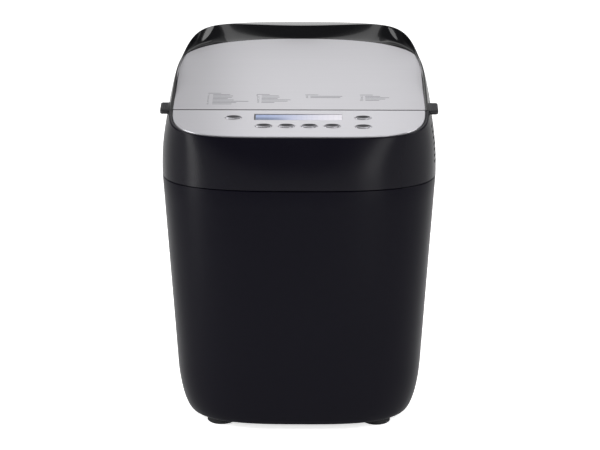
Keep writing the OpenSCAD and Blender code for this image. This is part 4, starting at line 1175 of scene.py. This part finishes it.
@dataclass
class Lid:
    """Lid: moulded shell with its cowl, brushed plate, finger tabs and printed marks.

    The points of the plate's bevel are insets and depths, and so are those of a tab's edge.
    """

    form: HousingForm
    plastic: bpy.types.Material
    tab_plastic: bpy.types.Material
    metal: bpy.types.Material
    ink: bpy.types.Material
    ceiling_n: float = -3.4
    plate_floor_n: float = -1.4
    plate_bevel: tuple[tuple[float, float], ...] = ((0.0, -0.3), (0.1, -0.1), (0.3, 0.0))
    lug_x: float = 48.0
    lug_r: float = 8.0
    lug_gap: float = 0.6
    notch_half: float = 15.0
    rear_slot_x: tuple[float, ...] = (-22.0, -13.2, -4.4, 4.4, 13.2, 22.0)
    rear_slot_half: float = 2.0
    rear_slot_y: tuple[float, float] = (4.0, 24.0)
    rear_slot_z: tuple[float, float] = (-2.0, 4.0)
    face_gap: float = 0.4
    recess_gap: float = 0.8
    plate_gap: float = 1.35
    foot_t: float = 0.5
    wall_foot_n: float = -5.0
    ledge_gap: float = 0.2
    narrow_w: float = 0.15
    proud_full: float = 3.0
    cove_steps: int = 18
    cove_power: float = 1.25
    corner_cove_power: float = 8.0
    corner_cove_x: tuple[float, float] = (88.0, 110.0)
    tab_reach: float = 9.8
    tab_sunk: float = 1.0
    tab_l: float = 20.0
    tab_gap: float = 3.5
    tab_t: float = 4.0
    tab_top_n: float = -2.5
    tab_r: float = 2.6
    tab_edge: tuple[tuple[float, float], ...] = ((0.6, 0.0), (0.18, 0.18), (0.0, 0.6))
    rib_x: tuple[float, ...] = (-1.0, 1.0, 3.0)
    rib_r: float = 0.45
    rib_inset: float = 2.5
    rib_sunk: float = 0.1
    mark_pitch: float = 3.15
    mark_n: float = 0.03
    title_rise: float = 3.6
    title_size: tuple[float, float] = (13.0, 0.9)
    bar_place: tuple[float, float] = (5.2, 0.3)
    bar_w: float = 0.95

    def _skirt(self, n: float, t: float, s: float) -> np.ndarray:
        """Ring of the skirt at depth n, on the housing's flared form."""
        f = self.form
        return f.flared(f.lid_outline(t, 0, s, n), f.lid_outline(t, 1, s, n), n)

    def _plate_ring(self, t: float, s: float, n: float) -> np.ndarray:
        """Ring of the plate or of its recess.

        Args:
            t: how far it is set in from the plate's edge, below 0 for the recess.
            s: where it is cut across in front.
            n: its depth.

        Returns:
            Array of point and xyz.
        """
        f = self.form
        flat = f.cut_outline(
            f.top_half - f.rim_w - t, f.top_front + f.rim_w + max(t, 0.0), f.plate_rear_y - t,
            f.slope_y(s, n), f.plate_rear_y - f.plate_corner, f.plate_power,
        )
        return f.laid(flat, n)

    def _wall_rings(self, face: float) -> list[np.ndarray]:
        """Rings from the ceiling down inside the skirt, round its foot, and up over the rim.

        Args:
            face: how far up the slope the lid's front face lies.

        Returns:
            The rings in order.
        """
        f = self.form
        low, bevel = f.skirt_n, self.foot_t
        corners = ((self.ceiling_n, f.wall), (low, f.wall), (low, bevel), (low + bevel, 0.0))
        rings = [self._skirt(n, t, face + t) for n, t in corners]
        rim = f.lid_outline(0, 0, face, 0)
        foot = self._skirt(self.wall_foot_n, 0, face)
        top = np.column_stack([rim, f.rim_z(rim[:, 1]) - f.edge_r])
        rings += [foot * (1 - share) + top * share for share in np.linspace(0, 1, 8) ** 0.8]
        for t, drop in quarter_round(f.edge_r, 6)[1:]:
            inset = f.lid_outline(t, 0, face, 0)
            rings.append(np.column_stack([inset, f.rim_z(inset[:, 1]) - drop]))
        return rings

    def _ledge(self, face: float) -> np.ndarray:
        """Inner edge of the rim: narrow where the cowl stands proud, a level ledge at the rear.

        The ledge's depth at x is ledge_d times 1 - (x / ledge_half)^2.

        Args:
            face: how far up the slope the lid's front face lies.

        Returns:
            Array of point and xyz.
        """
        f = self.form
        wide, narrow = (f.lid_outline(t, 0, face + self.ledge_gap, 0)
                        for t in (f.rim_w - f.thin_gap, f.edge_r + self.narrow_w))
        rise = f.rim_z(wide[:, 1]) - f.plane_z(wide[:, 1])
        proud = np.clip(rise / self.proud_full, 0, 1)[:, None]
        x, y = (wide * (1 - proud) + narrow * proud).T
        deep = np.where(y > 0, f.ledge_d * np.clip(1 - (x / f.ledge_half) ** 2, 0, 1), 0)
        return np.column_stack([x, y - deep, f.rim_z(y)])

    def _hinge_cutters(self) -> list[bpy.types.Object]:
        """Notches round the two hinge lugs, and the row of slots in the lid's rear.

        Returns:
            The cutters.
        """
        f = self.form
        y, z, clear = f.hinge_y, f.hinge_z, self.lug_r + self.lug_gap
        below, rear = z - 2 * self.lug_r, y + 3 * self.lug_r
        cutters = []
        for middle in (-self.lug_x, self.lug_x):
            low, high = middle - self.notch_half, middle + self.notch_half
            cutters.append(rod(clear, (low, y, z), (high, y, z)))
            cutters.append(box((low, y, below), (high, rear, z + clear)))
        half = self.rear_slot_half
        near, far = ((y + dy, z + dz) for dy, dz in zip(self.rear_slot_y, self.rear_slot_z))
        cutters += [box((x - half, *near), (x + half, *far)) for x in self.rear_slot_x]
        return cutters

    def shell(self) -> None:
        """Lid shell: skirt, rounded rim, level ledge at the rear, and a cove down to the plate.

        The cove runs from the ledge to the recess: at share u of the way its height above the
        recess is (1 - u)^p of the ledge's. The power p rises from the middle to the corners.
        """
        f = self.form
        face = f.lid_line_s + self.face_gap
        rings = self._wall_rings(face)
        ledge = self._ledge(face)
        rings.append(rings[-1] * 0.1 + ledge * 0.9)
        recess, floor = (self._plate_ring(-f.thin_gap, f.lid_line_s + self.recess_gap, n)
                         for n in (0.0, self.plate_floor_n))
        x_from, x_to = self.corner_cove_x
        cornering = np.clip((np.abs(ledge[:, 0]) - x_from) / (x_to - x_from), 0, 1) ** 1.3
        power = self.cove_power + (self.corner_cove_power - self.cove_power) * cornering
        for u in np.linspace(0, 1, self.cove_steps)[:-1] ** 1.5:
            flat = ledge[:, :2] * (1 - u) + recess[:, :2] * u
            rise = (ledge[:, 2] - recess[:, 2]) * (1 - u) ** power
            rings.append(np.column_stack([flat, recess[:, 2] + rise]))
        made = skin("lid_cover", [*rings, recess, floor], Ends.CAPPED)
        carve(made, self._hinge_cutters())
        finish_piece(made, self.plastic, "lid", ["lid_shell"])

    def plate(self) -> None:
        """Brushed plate: the recess's outline with a fine bevel round its top."""
        front = self.form.lid_line_s + self.plate_gap
        bevel = ((0.0, self.plate_floor_n), *self.plate_bevel)
        rings = [self._plate_ring(t, front + t * 0.4, n) for t, n in bevel]
        made = skin("lid_face", rings, Ends.CAPPED)
        finish_piece(made, self.metal, "lid", ["lid_plate"], crease=10)

    def tabs(self) -> None:
        """Finger tabs: rounded pads with three grip ribs, one on each side of the lid."""
        f = self.form
        low, high = self.tab_top_n - self.tab_t, self.tab_top_n
        levels = [(t, low + n) for t, n in self.tab_edge]
        levels += [(t, high - n) for t, n in self.tab_edge[::-1]]
        mid_s = f.lid_line_s + self.tab_gap + self.tab_l / 2
        reach = self.tab_l / 2 - self.rib_inset
        u = np.linspace(0, np.pi, 9)
        for side, name in ((1, "finger_tab_right"), (-1, "finger_tab_left")):
            mid_x = side * (f.top_half + (self.tab_reach - self.tab_sunk) / 2)
            pad = skin(name, [self._pad(mid_x, mid_s, t, n) for t, n in levels], Ends.CAPPED)
            ribs = []
            for x in self.rib_x:
                across = mid_x + side * x + self.rib_r * np.cos(u)
                arc = high - self.rib_sunk + self.rib_r * np.sin(u)
                ends = [f.on_slope(across, s, arc) for s in (mid_s - reach, mid_s + reach)]
                ribs.append(skin("rib", ends, Ends.CAPPED))
            carve(pad, ribs, "UNION")
            finish_piece(pad, self.tab_plastic, "lid")

    def _pad(self, mid_x: float, mid_s: float, t: float, n: float) -> np.ndarray:
        """Rounded rectangle of a tab at inset t and depth n."""
        sizes = ((self.tab_reach + self.tab_sunk) / 2 - t, self.tab_l / 2 - t, self.tab_r - t)
        return self.form.on_slope(*((mid_x, mid_s) + rounded_rectangle(*sizes, 10)).T, n)

    def marks(self) -> None:
        """Printed marks: plain numbers with plain bars beside them, in four blocks.

        Each block has its left end, the foot of its first row, its first number, and the length of
        the bar in each row. Each bar is its left end, foot, length and width.
        """
        blocks = (
            (-92.0, 99.2, 1, (17, 20, 19, 15, 21, 36, 24, 19)),
            (-43.0, 96.6, 9, (17, 18, 16, 29, 26, 13)),
            (6.0, 95.8, 15, (32, 30)),
            (61.0, 95.8, 17, (15, 24, 20, 14)),
        )
        bars = []
        for x, top_s, first, lengths in blocks:
            bars.append((x, top_s + self.title_rise, *self.title_size))
            for k, length in enumerate(lengths):
                s = top_s - k * self.mark_pitch
                bars += self._strokes(str(first + k), x, s)
                bars.append((x + self.bar_place[0], s + self.bar_place[1], length, self.bar_w))
        x, s, length, width = np.transpose(bars)[:, :, None]
        x, s = x + length * [0, 1, 1, 0], s + width * [0, 0, 1, 1]
        points = self.form.on_slope(x.ravel(), s.ravel(), self.mark_n)
        made = add_object("printed_marks", points, np.arange(len(points)).reshape(-1, 4))
        finish_piece(made, self.ink, "lid")

    def _strokes(self, digits: str, x: float, s: float) -> list[tuple[float, float, float, float]]:
        """A number in seven-stroke figures, each stroke a plain bar.

        Args:
            digits: the number.
            x: its left end.
            s: its foot.

        Returns:
            Left end, foot, length and width of each bar.
        """
        strokes = {"0": "abcdef", "1": "bc", "2": "abged", "3": "abgcd", "4": "fgbc", "5": "afgcd",
                   "6": "afgedc", "7": "abc", "8": "abcdefg", "9": "abcdfg"}
        w, h, pen, pitch = 1.0, 1.9, 0.28, 1.6
        spans = {"a": (0, h, w, 0), "g": (0, h / 2, w, 0), "d": (0, 0, w, 0),
                 "f": (0, h / 2, 0, h / 2), "b": (w, h / 2, 0, h / 2),
                 "e": (0, 0, 0, h / 2), "c": (w, 0, 0, h / 2)}
        return [
            (x + i * pitch + left - pen / 2, s + foot - pen / 2, length + pen, rise + pen)
            for i, digit in enumerate(digits)
            for left, foot, length, rise in (spans[key] for key in strokes[digit])
        ]


@dataclass
class Panel:
    """Brushed control panel with its window opening, and the seven dished keys.

    The bevel's points are insets and depths.
    """

    form: HousingForm
    metal: bpy.types.Material
    key_metal: bpy.types.Material
    window_x: float = -0.6
    window_s: float = 48.1
    window_l: float = 87.0
    window_w: float = 14.0
    window_r: float = 0.8
    key_l: float = 16.5
    key_w: float = 9.0
    key_gap: float = 0.35
    key_pitch: float = 22.3
    key_row_s: float = 28.0
    key_rear_s: float = 46.8
    key_side_x: float = 63.8
    key_top_n: float = 0.4
    key_dish: float = 1.8
    key_rim_r: float = 0.25
    key_low_n: float = -5.5
    flange_w: float = 1.3
    flange_t: float = 0.9
    front_key_drop: float = 1.2
    line_gap: float = 0.5
    cut_half_n: float = 9.0
    bevel: tuple[tuple[float, float], ...] = ((0.0, -0.5), (0.12, -0.18), (0.5, 0.0))

    def key_places(self) -> dict[str, tuple[float, float]]:
        """Places of the keys.

        Returns:
            How far across and up the slope each key lies, by its name.
        """
        x, side = self.window_x, self.key_side_x
        row = {f"key_row_{i + 1}": (x + (i - 1.5) * self.key_pitch, self.key_row_s)
               for i in range(4)}
        return {
            "key_left": (x - side, self.key_rear_s), **row,
            "key_right_rear": (x + side, self.key_rear_s),
            "key_right_front": (x + side, self.key_row_s - self.front_key_drop),
        }

    def _oval(self, place: tuple[float, float], grow: float) -> np.ndarray:
        """Ellipse of x and s round a key's place, grown by an amount.

        Args:
            place: the key's place.
            grow: the amount.

        Returns:
            Array of point, and x and s.
        """
        u = np.linspace(0, 2 * np.pi, 64, endpoint=False)
        half = np.array([self.key_l, self.key_w]) / 2 + grow
        return place + half * np.stack([np.cos(u), np.sin(u)], -1)

    def plate(self) -> None:
        """Panel: the top outline set in by the rim, cut at the lid line, with its openings."""
        f = self.form
        rings = []
        for t, n in ((0.0, -f.panel_t), *self.bevel):
            half, front = f.top_half - f.rim_w - t, f.top_front + f.rim_w + t
            rings.append(f.laid(f.outline(half, front, f.top_rear, f.top_power)[0], n))
        made = skin("panel_face", rings, Ends.CAPPED)
        window = rounded_rectangle(self.window_l / 2, self.window_w / 2, self.window_r, 6)
        lid_side = f.behind(f.lid_line_s - self.line_gap)
        openings = [lid_side, window + (self.window_x, self.window_s)]
        openings += [self._oval(place, self.key_gap) for place in self.key_places().values()]
        carve(made, [f.prism(flat, -self.cut_half_n, self.cut_half_n) for flat in openings])
        finish_piece(made, self.metal, "root", ["control_panel"], crease=10)

    def keys(self) -> None:
        """Keys: oval caps with a rounded rim, a dish pressed into the top, and a flange below.

        Inside the rim the surface falls as the dish depth times 1 - q^2, where q is the share of
        the way out from the middle.
        """
        f, low = self.form, self.key_low_n
        square = f.on_slope(0, 0, 1) - f.on_slope(0, 0, 0)
        step = low + self.flange_t
        levels = [(self.flange_w, low), (self.flange_w, step), (0.0, step)]
        levels += [(-t, self.key_top_n - drop) for t, drop in quarter_round(self.key_rim_r, 7)]
        for name, place in self.key_places().items():
            rings = [f.on_slope(*self._oval(place, grow).T, n) for grow, n in levels]
            edge, middle = rings[-1], rings[-1].mean(0)
            rings += [middle + (edge - middle) * q - square * self.key_dish * (1 - q * q)
                      for q in np.linspace(0.92, 0.02, 12)]
            made = skin(name + "_cap", rings, Ends.CAPPED)
            body = NODES[name]["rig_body"]
            finish_piece(made, self.key_metal, body, [name], crease=40)


@dataclass
class Pan:
    """Bread pan: deep rounded box with drafted walls and a rolled rim.

    The foot's rows are height share of the draft, how far the wall is let out, and height.
    """

    coating: bpy.types.Material
    half_x: float = 84.0
    half_y: float = 65.0
    draft_x: float = 5.5
    draft_y: float = 5.0
    mid_y: float = 26.0
    low_z: float = 104.0
    height: float = 148.0
    wall: float = 1.6
    corner_r: float = 24.0
    rim_out: float = 0.4
    rim_w: float = 1.6
    rim_h: float = 1.8
    floor_r: float = 8.0
    hole_r: float = 7.0
    foot: tuple[tuple[float, float, float], ...] = (
        (0.0, -4.0, 0.0), (0.0, -1.9, 0.3), (0.0, -0.9, 1.3), (0.03, 0.0, 4.4)
    )

    def _ring(self, share: float, grow: float, z: float) -> np.ndarray:
        """Ring of the drafted wall.

        Args:
            share: height share at which the draft is taken.
            grow: how far it is then let out.
            z: its height.

        Returns:
            Array of point and xyz.
        """
        half_x = self.half_x - self.draft_x * (1 - share) + grow
        half_y = self.half_y - self.draft_y * (1 - share) + grow
        flat = (0.0, self.mid_y) + rounded_rectangle(half_x, half_y, self.corner_r + grow, 20)
        return np.column_stack([flat, np.full(len(flat), z)])

    def build(self) -> None:
        """Pan: outer wall up, rim rolled over, inner wall down to a coved floor with a hole."""
        low, top, inside = self.low_z, self.low_z + self.height, -self.wall
        levels = [(share, grow, low + rise) for share, grow, rise in self.foot]
        levels += [(w, 0, low + w * self.height) for w in np.linspace(0.1, 0.96, 8)]
        for u in np.radians(np.linspace(-60, 150, 12)):
            drop = self.rim_h * (1 - math.sin(u))
            levels.append((1, self.rim_out + self.rim_w * math.cos(u), top - drop))
        levels.append((1, inside, top - 2.0))
        levels += [(w, inside, low + w * self.height) for w in np.linspace(0.94, 0.12, 8)]
        levels += [(0.03, inside - t, low + self.wall + drop)
                   for t, drop in quarter_round(self.floor_r, 8)[1:]]
        made = skin("pan_vessel", [self._ring(*level) for level in levels], Ends.CAPPED)
        carve(made, [rod(self.hole_r, (0, self.mid_y, low - 20), (0, self.mid_y, low + 20), 48)])
        finish_piece(made, self.coating, "pan", ["bread_pan"])


# ---------------------------------------------------------------- dressing of the other nodes


def inside_finishes() -> dict[str, Finish]:
    """Each finish of the nodes whose shape stays as it is, by the names of those that take it."""
    return {
        "rubber_feet": SoftRubber("foot_rubber", (22, 22, 24)),
        "base_plate": MouldedPlastic("base_moulding", (24, 24, 27), 0.5),
        "control_housing": MouldedPlastic("panel_bed_moulding", (30, 29, 33), 0.45),
        "display_module": MouldedPlastic("display_frame_moulding", (20, 20, 24), 0.4),
        "side_vent_baffle": SoftRubber("baffle_rubber", (12, 12, 13)),
        "cord_gland": SoftRubber("gland_rubber", (20, 20, 22)),
        "chassis,heat_shield": PlateMetal("galvanised_sheet", (168, 170, 172), 0.4, 9.0),
        "chamber_liner": PlateMetal("chamber_steel", (176, 176, 178), 0.34, 30.0, 0.3),
        "top_frame": MouldedPlastic("deck_moulding", (30, 30, 33), 0.5),
        "hinge_pins,lid_screws,base_screws,board_screws":
            PlateMetal("fastener_steel", (186, 186, 188), 0.28, 3.0, 0.2),
        "heating_tube": CoatedMetal("heater_oxide", (74, 70, 66), 0.45),
        "heater_clips,lid_liner": PlateMetal("liner_steel", (188, 188, 190), 0.33, 24.0, 0.25),
        "heater_bushings": CoatedMetal("white_ceramic", (206, 200, 188), 0.5),
        "temperature_sensor,thermal_fuse":
            PlateMetal("sensor_steel", (190, 188, 184), 0.3, 3.0, 0.2),
        "pan_seat,drive_bearing": PlateMetal("cast_zinc", (150, 152, 155), 0.45, 2.0),
        "drive_bush,pan_bush": PlateMetal("sintered_bronze", (176, 128, 72), 0.4, 1.0),
        "drive_belt": SoftRubber("belt_rubber", (26, 26, 27)),
        "motor_case": PlateMetal("motor_steel", (160, 161, 163), 0.36, 5.0),
        "motor_stator": Windings("motor_windings"),
        "motor_rotor": PlateMetal("rotor_steel", (120, 122, 126), 0.4, 2.0),
        "power_board,control_board": BoardLaminate("board_laminate"),
        "board_parts": MouldedPlastic("component_moulding", (28, 28, 30), 0.45),
        "capacitor": MouldedPlastic("capacitor_sleeve", (36, 44, 70), 0.35),
        "keypad": SoftRubber("keypad_silicone", (128, 128, 130)),
        "lid_gasket,pan_seal": SoftRubber("seal_silicone", (60, 58, 58), 0.6),
        "lid_hinge_arms": PlateMetal("arm_zinc", (156, 158, 160), 0.4, 4.0),
        "pan_base,pan_ears": PlateMetal("die_cast", (146, 148, 152), 0.42, 2.0),
        "pan_handle": PlateMetal("handle_wire", (178, 178, 180), 0.25, 3.0, 0.2),
        "handle_grip": MouldedPlastic("grip_moulding", (26, 26, 28), 0.5),
        "drive_shaft,pan_shaft": PlateMetal("ground_steel", (190, 190, 192), 0.22, 3.0, 0.2),
        "drive_pulley": MouldedPlastic("pulley_moulding", (44, 44, 46), 0.45),
        "drive_coupler,pan_coupler": PlateMetal("coupler_zinc", (140, 142, 146), 0.42, 2.0),
        "kneading_blade": CoatedMetal("blade_coating", (52, 50, 50), 0.35),
    }


@dataclass
class Insides:
    """The nodes whose shape stays as it is, with their finishes."""

    finishes: dict[str, Finish] = field(default_factory=inside_finishes)
    glass_colour: Tone = (182, 179, 186)

    def dress(self) -> None:
        """Puts each finish on its nodes, and the glass on the display window."""
        for names, finish in self.finishes.items():
            self._assign(names.split(","), finish)
        low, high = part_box("display_window")
        mid_y, half_w = (low.y + high.y) / 2, (high.y - low.y) / 2
        glass = DisplayGlass("display_glass", self.glass_colour, low.x, high.x, mid_y, half_w)
        self._assign(["display_window"], glass)

    def _assign(self, names: Iterable[str], finish: Finish) -> None:
        """Replaces the materials of nodes with one.

        Args:
            names: the nodes.
            finish: their finish.
        """
        material = finish.make()
        for name in names:
            mesh = NODES[name].data
            mesh.materials.clear()
            mesh.materials.append(material)
            log.info("dressed %s with %s", name, material.name)


# ---------------------------------------------------------------- studio


@dataclass(frozen=True)
class Lamp:
    """A rectangular soft lamp: its place and size in metres and its power in watts."""

    name: str
    place: tuple[float, float, float]
    size: tuple[float, float]
    power: float
    mirrored: bool = True

    def build(self, target: Vector) -> None:
        """Makes the lamp, which is unseen but for its mirror image.

        Args:
            target: the point that it looks at.
        """
        data = bpy.data.lights.new(self.name, "AREA")
        data.shape = "RECTANGLE"
        data.size, data.size_y = self.size
        data.energy = self.power
        made = bpy.data.objects.new(self.name, data)
        bpy.context.scene.collection.objects.link(made)
        made.location = self.place
        made.rotation_euler = (Vector(self.place) - target).to_track_quat("Z", "Y").to_euler()
        made.visible_camera = False
        made.visible_glossy = self.mirrored


@dataclass
class Studio:
    """Camera, lamps, floor and backdrop, in metres."""

    target: Vector = field(default_factory=lambda: Vector((0.0001, 0.0045, 0.1792)))
    lamp_target: Vector = field(default_factory=lambda: Vector((0.0, 0.0, 0.2)))
    distance: float = 2.098
    elevation: float = math.radians(15.9)
    azimuth: float = math.radians(0.66)
    lens_mm: float = 120.0
    sensor_mm: float = 36.0
    ambient: float = 0.4
    floor_half_mm: float = 3000.0
    floor_glow: float = 0.7
    paper_grain_per_m: float = 300.0
    lamps: tuple[Lamp, ...] = (
        Lamp("lamp_left", (-1.5, -0.6, 1.3), (0.9, 1.4), 16),
        Lamp("lamp_right", (1.6, -0.4, 1.2), (0.9, 1.4), 20),
        Lamp("lamp_top", (0.0, -0.5, 2.1), (1.6, 1.2), 22, mirrored=False),
        Lamp("lamp_rear", (0.03, 0.36, 0.72), (0.28, 0.24), 0.21),
        Lamp("strip_left", (-0.67, -0.44, 0.33), (0.2, 0.66), 2.4),
        Lamp("strip_right", (0.4, -0.86, 0.4), (0.2, 0.7), 2.2),
    )

    def camera(self) -> None:
        """Long lens, level, a little above the machine and a touch to its right."""
        data = bpy.data.cameras.new("camera")
        data.lens = self.lens_mm
        data.sensor_width = self.sensor_mm
        made = bpy.data.objects.new("camera", data)
        bpy.context.scene.collection.objects.link(made)
        back = Vector((
            math.sin(self.azimuth) * math.cos(self.elevation),
            -math.cos(self.azimuth) * math.cos(self.elevation),
            math.sin(self.elevation),
        ))
        made.location = self.target + back * self.distance
        made.rotation_euler = back.to_track_quat("Z", "Y").to_euler()
        bpy.context.scene.camera = made

    def world(self) -> None:
        """White where the camera looks, plain grey light on the object, a dome for reflections.

        What a reflection sees grows lighter towards the rear, where the metal's gloss comes from.
        """
        world = bpy.data.worlds.new("backdrop")
        bpy.context.scene.world = world
        board = empty_board(world)
        seen, glossy, through = (
            board.node("ShaderNodeLightPath", {}, {}, f"Is {kind} Ray")
            for kind in ("Camera", "Glossy", "Transmission")
        )
        white = seen.larger(through)
        way = board.node("ShaderNodeTexCoord", {}, {}, "Generated")
        y, z = (board.axis(way, name) for name in "YZ")
        dome = (y + z * 0.15).ramp(0.2, 0.6, 0.12, 0.48)
        dome = dome + (y - z * 0.35).ramp(0.6, 0.95, 0.0, 0.52)
        strength = white + (1 - white) * (glossy * dome + (1 - glossy) * self.ambient)
        sky = board.node(
            "ShaderNodeBackground", {}, {"Color": (1, 1, 1, 1), "Strength": strength}
        )
        board.surface(sky, "ShaderNodeOutputWorld")

    def floor(self) -> None:
        """Pale floor that stays white to the camera and keeps the machine's shadow."""
        half = self.floor_half_mm
        corners = [(-half, -half, 0), (half, -half, 0), (half, half, 0), (-half, half, 0)]
        made = add_object("floor", corners, [(0, 1, 2, 3)])
        material = bpy.data.materials.new("floor_paper")
        board = empty_board(material)
        grain = board.noise(board.place(), self.paper_grain_per_m)
        paper = board.principled({
            "Base Color": board.mix(grain, (250, 250, 250), (255, 255, 255)),
            "Roughness": 0.9,
            "Specular IOR Level": 0.0,
        })
        glowing = {"Color": (1, 1, 1, 1), "Strength": self.floor_glow}
        glow = board.node("ShaderNodeEmission", {}, glowing)
        seen = board.node("ShaderNodeLightPath", {}, {}, "Is Camera Ray")
        lit = board.node("ShaderNodeAddShader", {}, {0: paper, 1: glow})
        board.surface(board.node("ShaderNodeMixShader", {}, {0: seen, 1: paper, 2: lit}))
        made.data.materials.append(material)

    def build(self) -> None:
        """Sets the whole stage and the plain view transform."""
        bpy.context.scene.view_settings.view_transform = "Standard"
        self.camera()
        self.world()
        self.floor()
        for lamp in self.lamps:
            lamp.build(self.lamp_target)


def main() -> None:
    """Builds the stage and every sub-assembly in order."""
    logging.basicConfig(level=logging.INFO, format="%(name)s: %(message)s")
    form = HousingForm()
    tilt = form.slope
    Studio().build()
    body_low = MouldedPlastic("housing_moulding", (5, 4, 12), 0.34, specular=0.07)
    body_top = MouldedPlastic("collar_moulding", (8, 7, 14), 0.26, specular=0.11)
    lid_black = MouldedPlastic("lid_moulding", (7, 7, 9), 0.12, grain_depth_mm=0.002, specular=0.4)
    tab = MouldedPlastic("tab_moulding", (27, 27, 30), 0.34, specular=0.22)
    lid_metal = BrushedMetal("lid_brushed_metal", (192, 191, 195), 0.34, 0.75, tilt)
    panel_metal = BrushedMetal("panel_brushed_metal", (197, 196, 201), 0.34, 0.75, tilt)
    key_metal = BrushedMetal("key_metal", (196, 195, 200), 0.2, 1.0, tilt, line_mm=0.2)
    ink = PrintedInk("grey_ink", (84, 85, 90))
    housing = Housing(form, body_low.make(), body_top.make())
    housing.lower_shell()
    housing.upper_shell()
    lid = Lid(form, *(finish.make() for finish in (lid_black, tab, lid_metal, ink)))
    lid.shell()
    lid.plate()
    lid.tabs()
    lid.marks()
    panel = Panel(form, panel_metal.make(), key_metal.make())
    panel.plate()
    panel.keys()
    Pan(CoatedMetal("pan_coating", (44, 43, 44)).make()).build()
    Insides().dress()


if __name__ == "__main__":
    main()
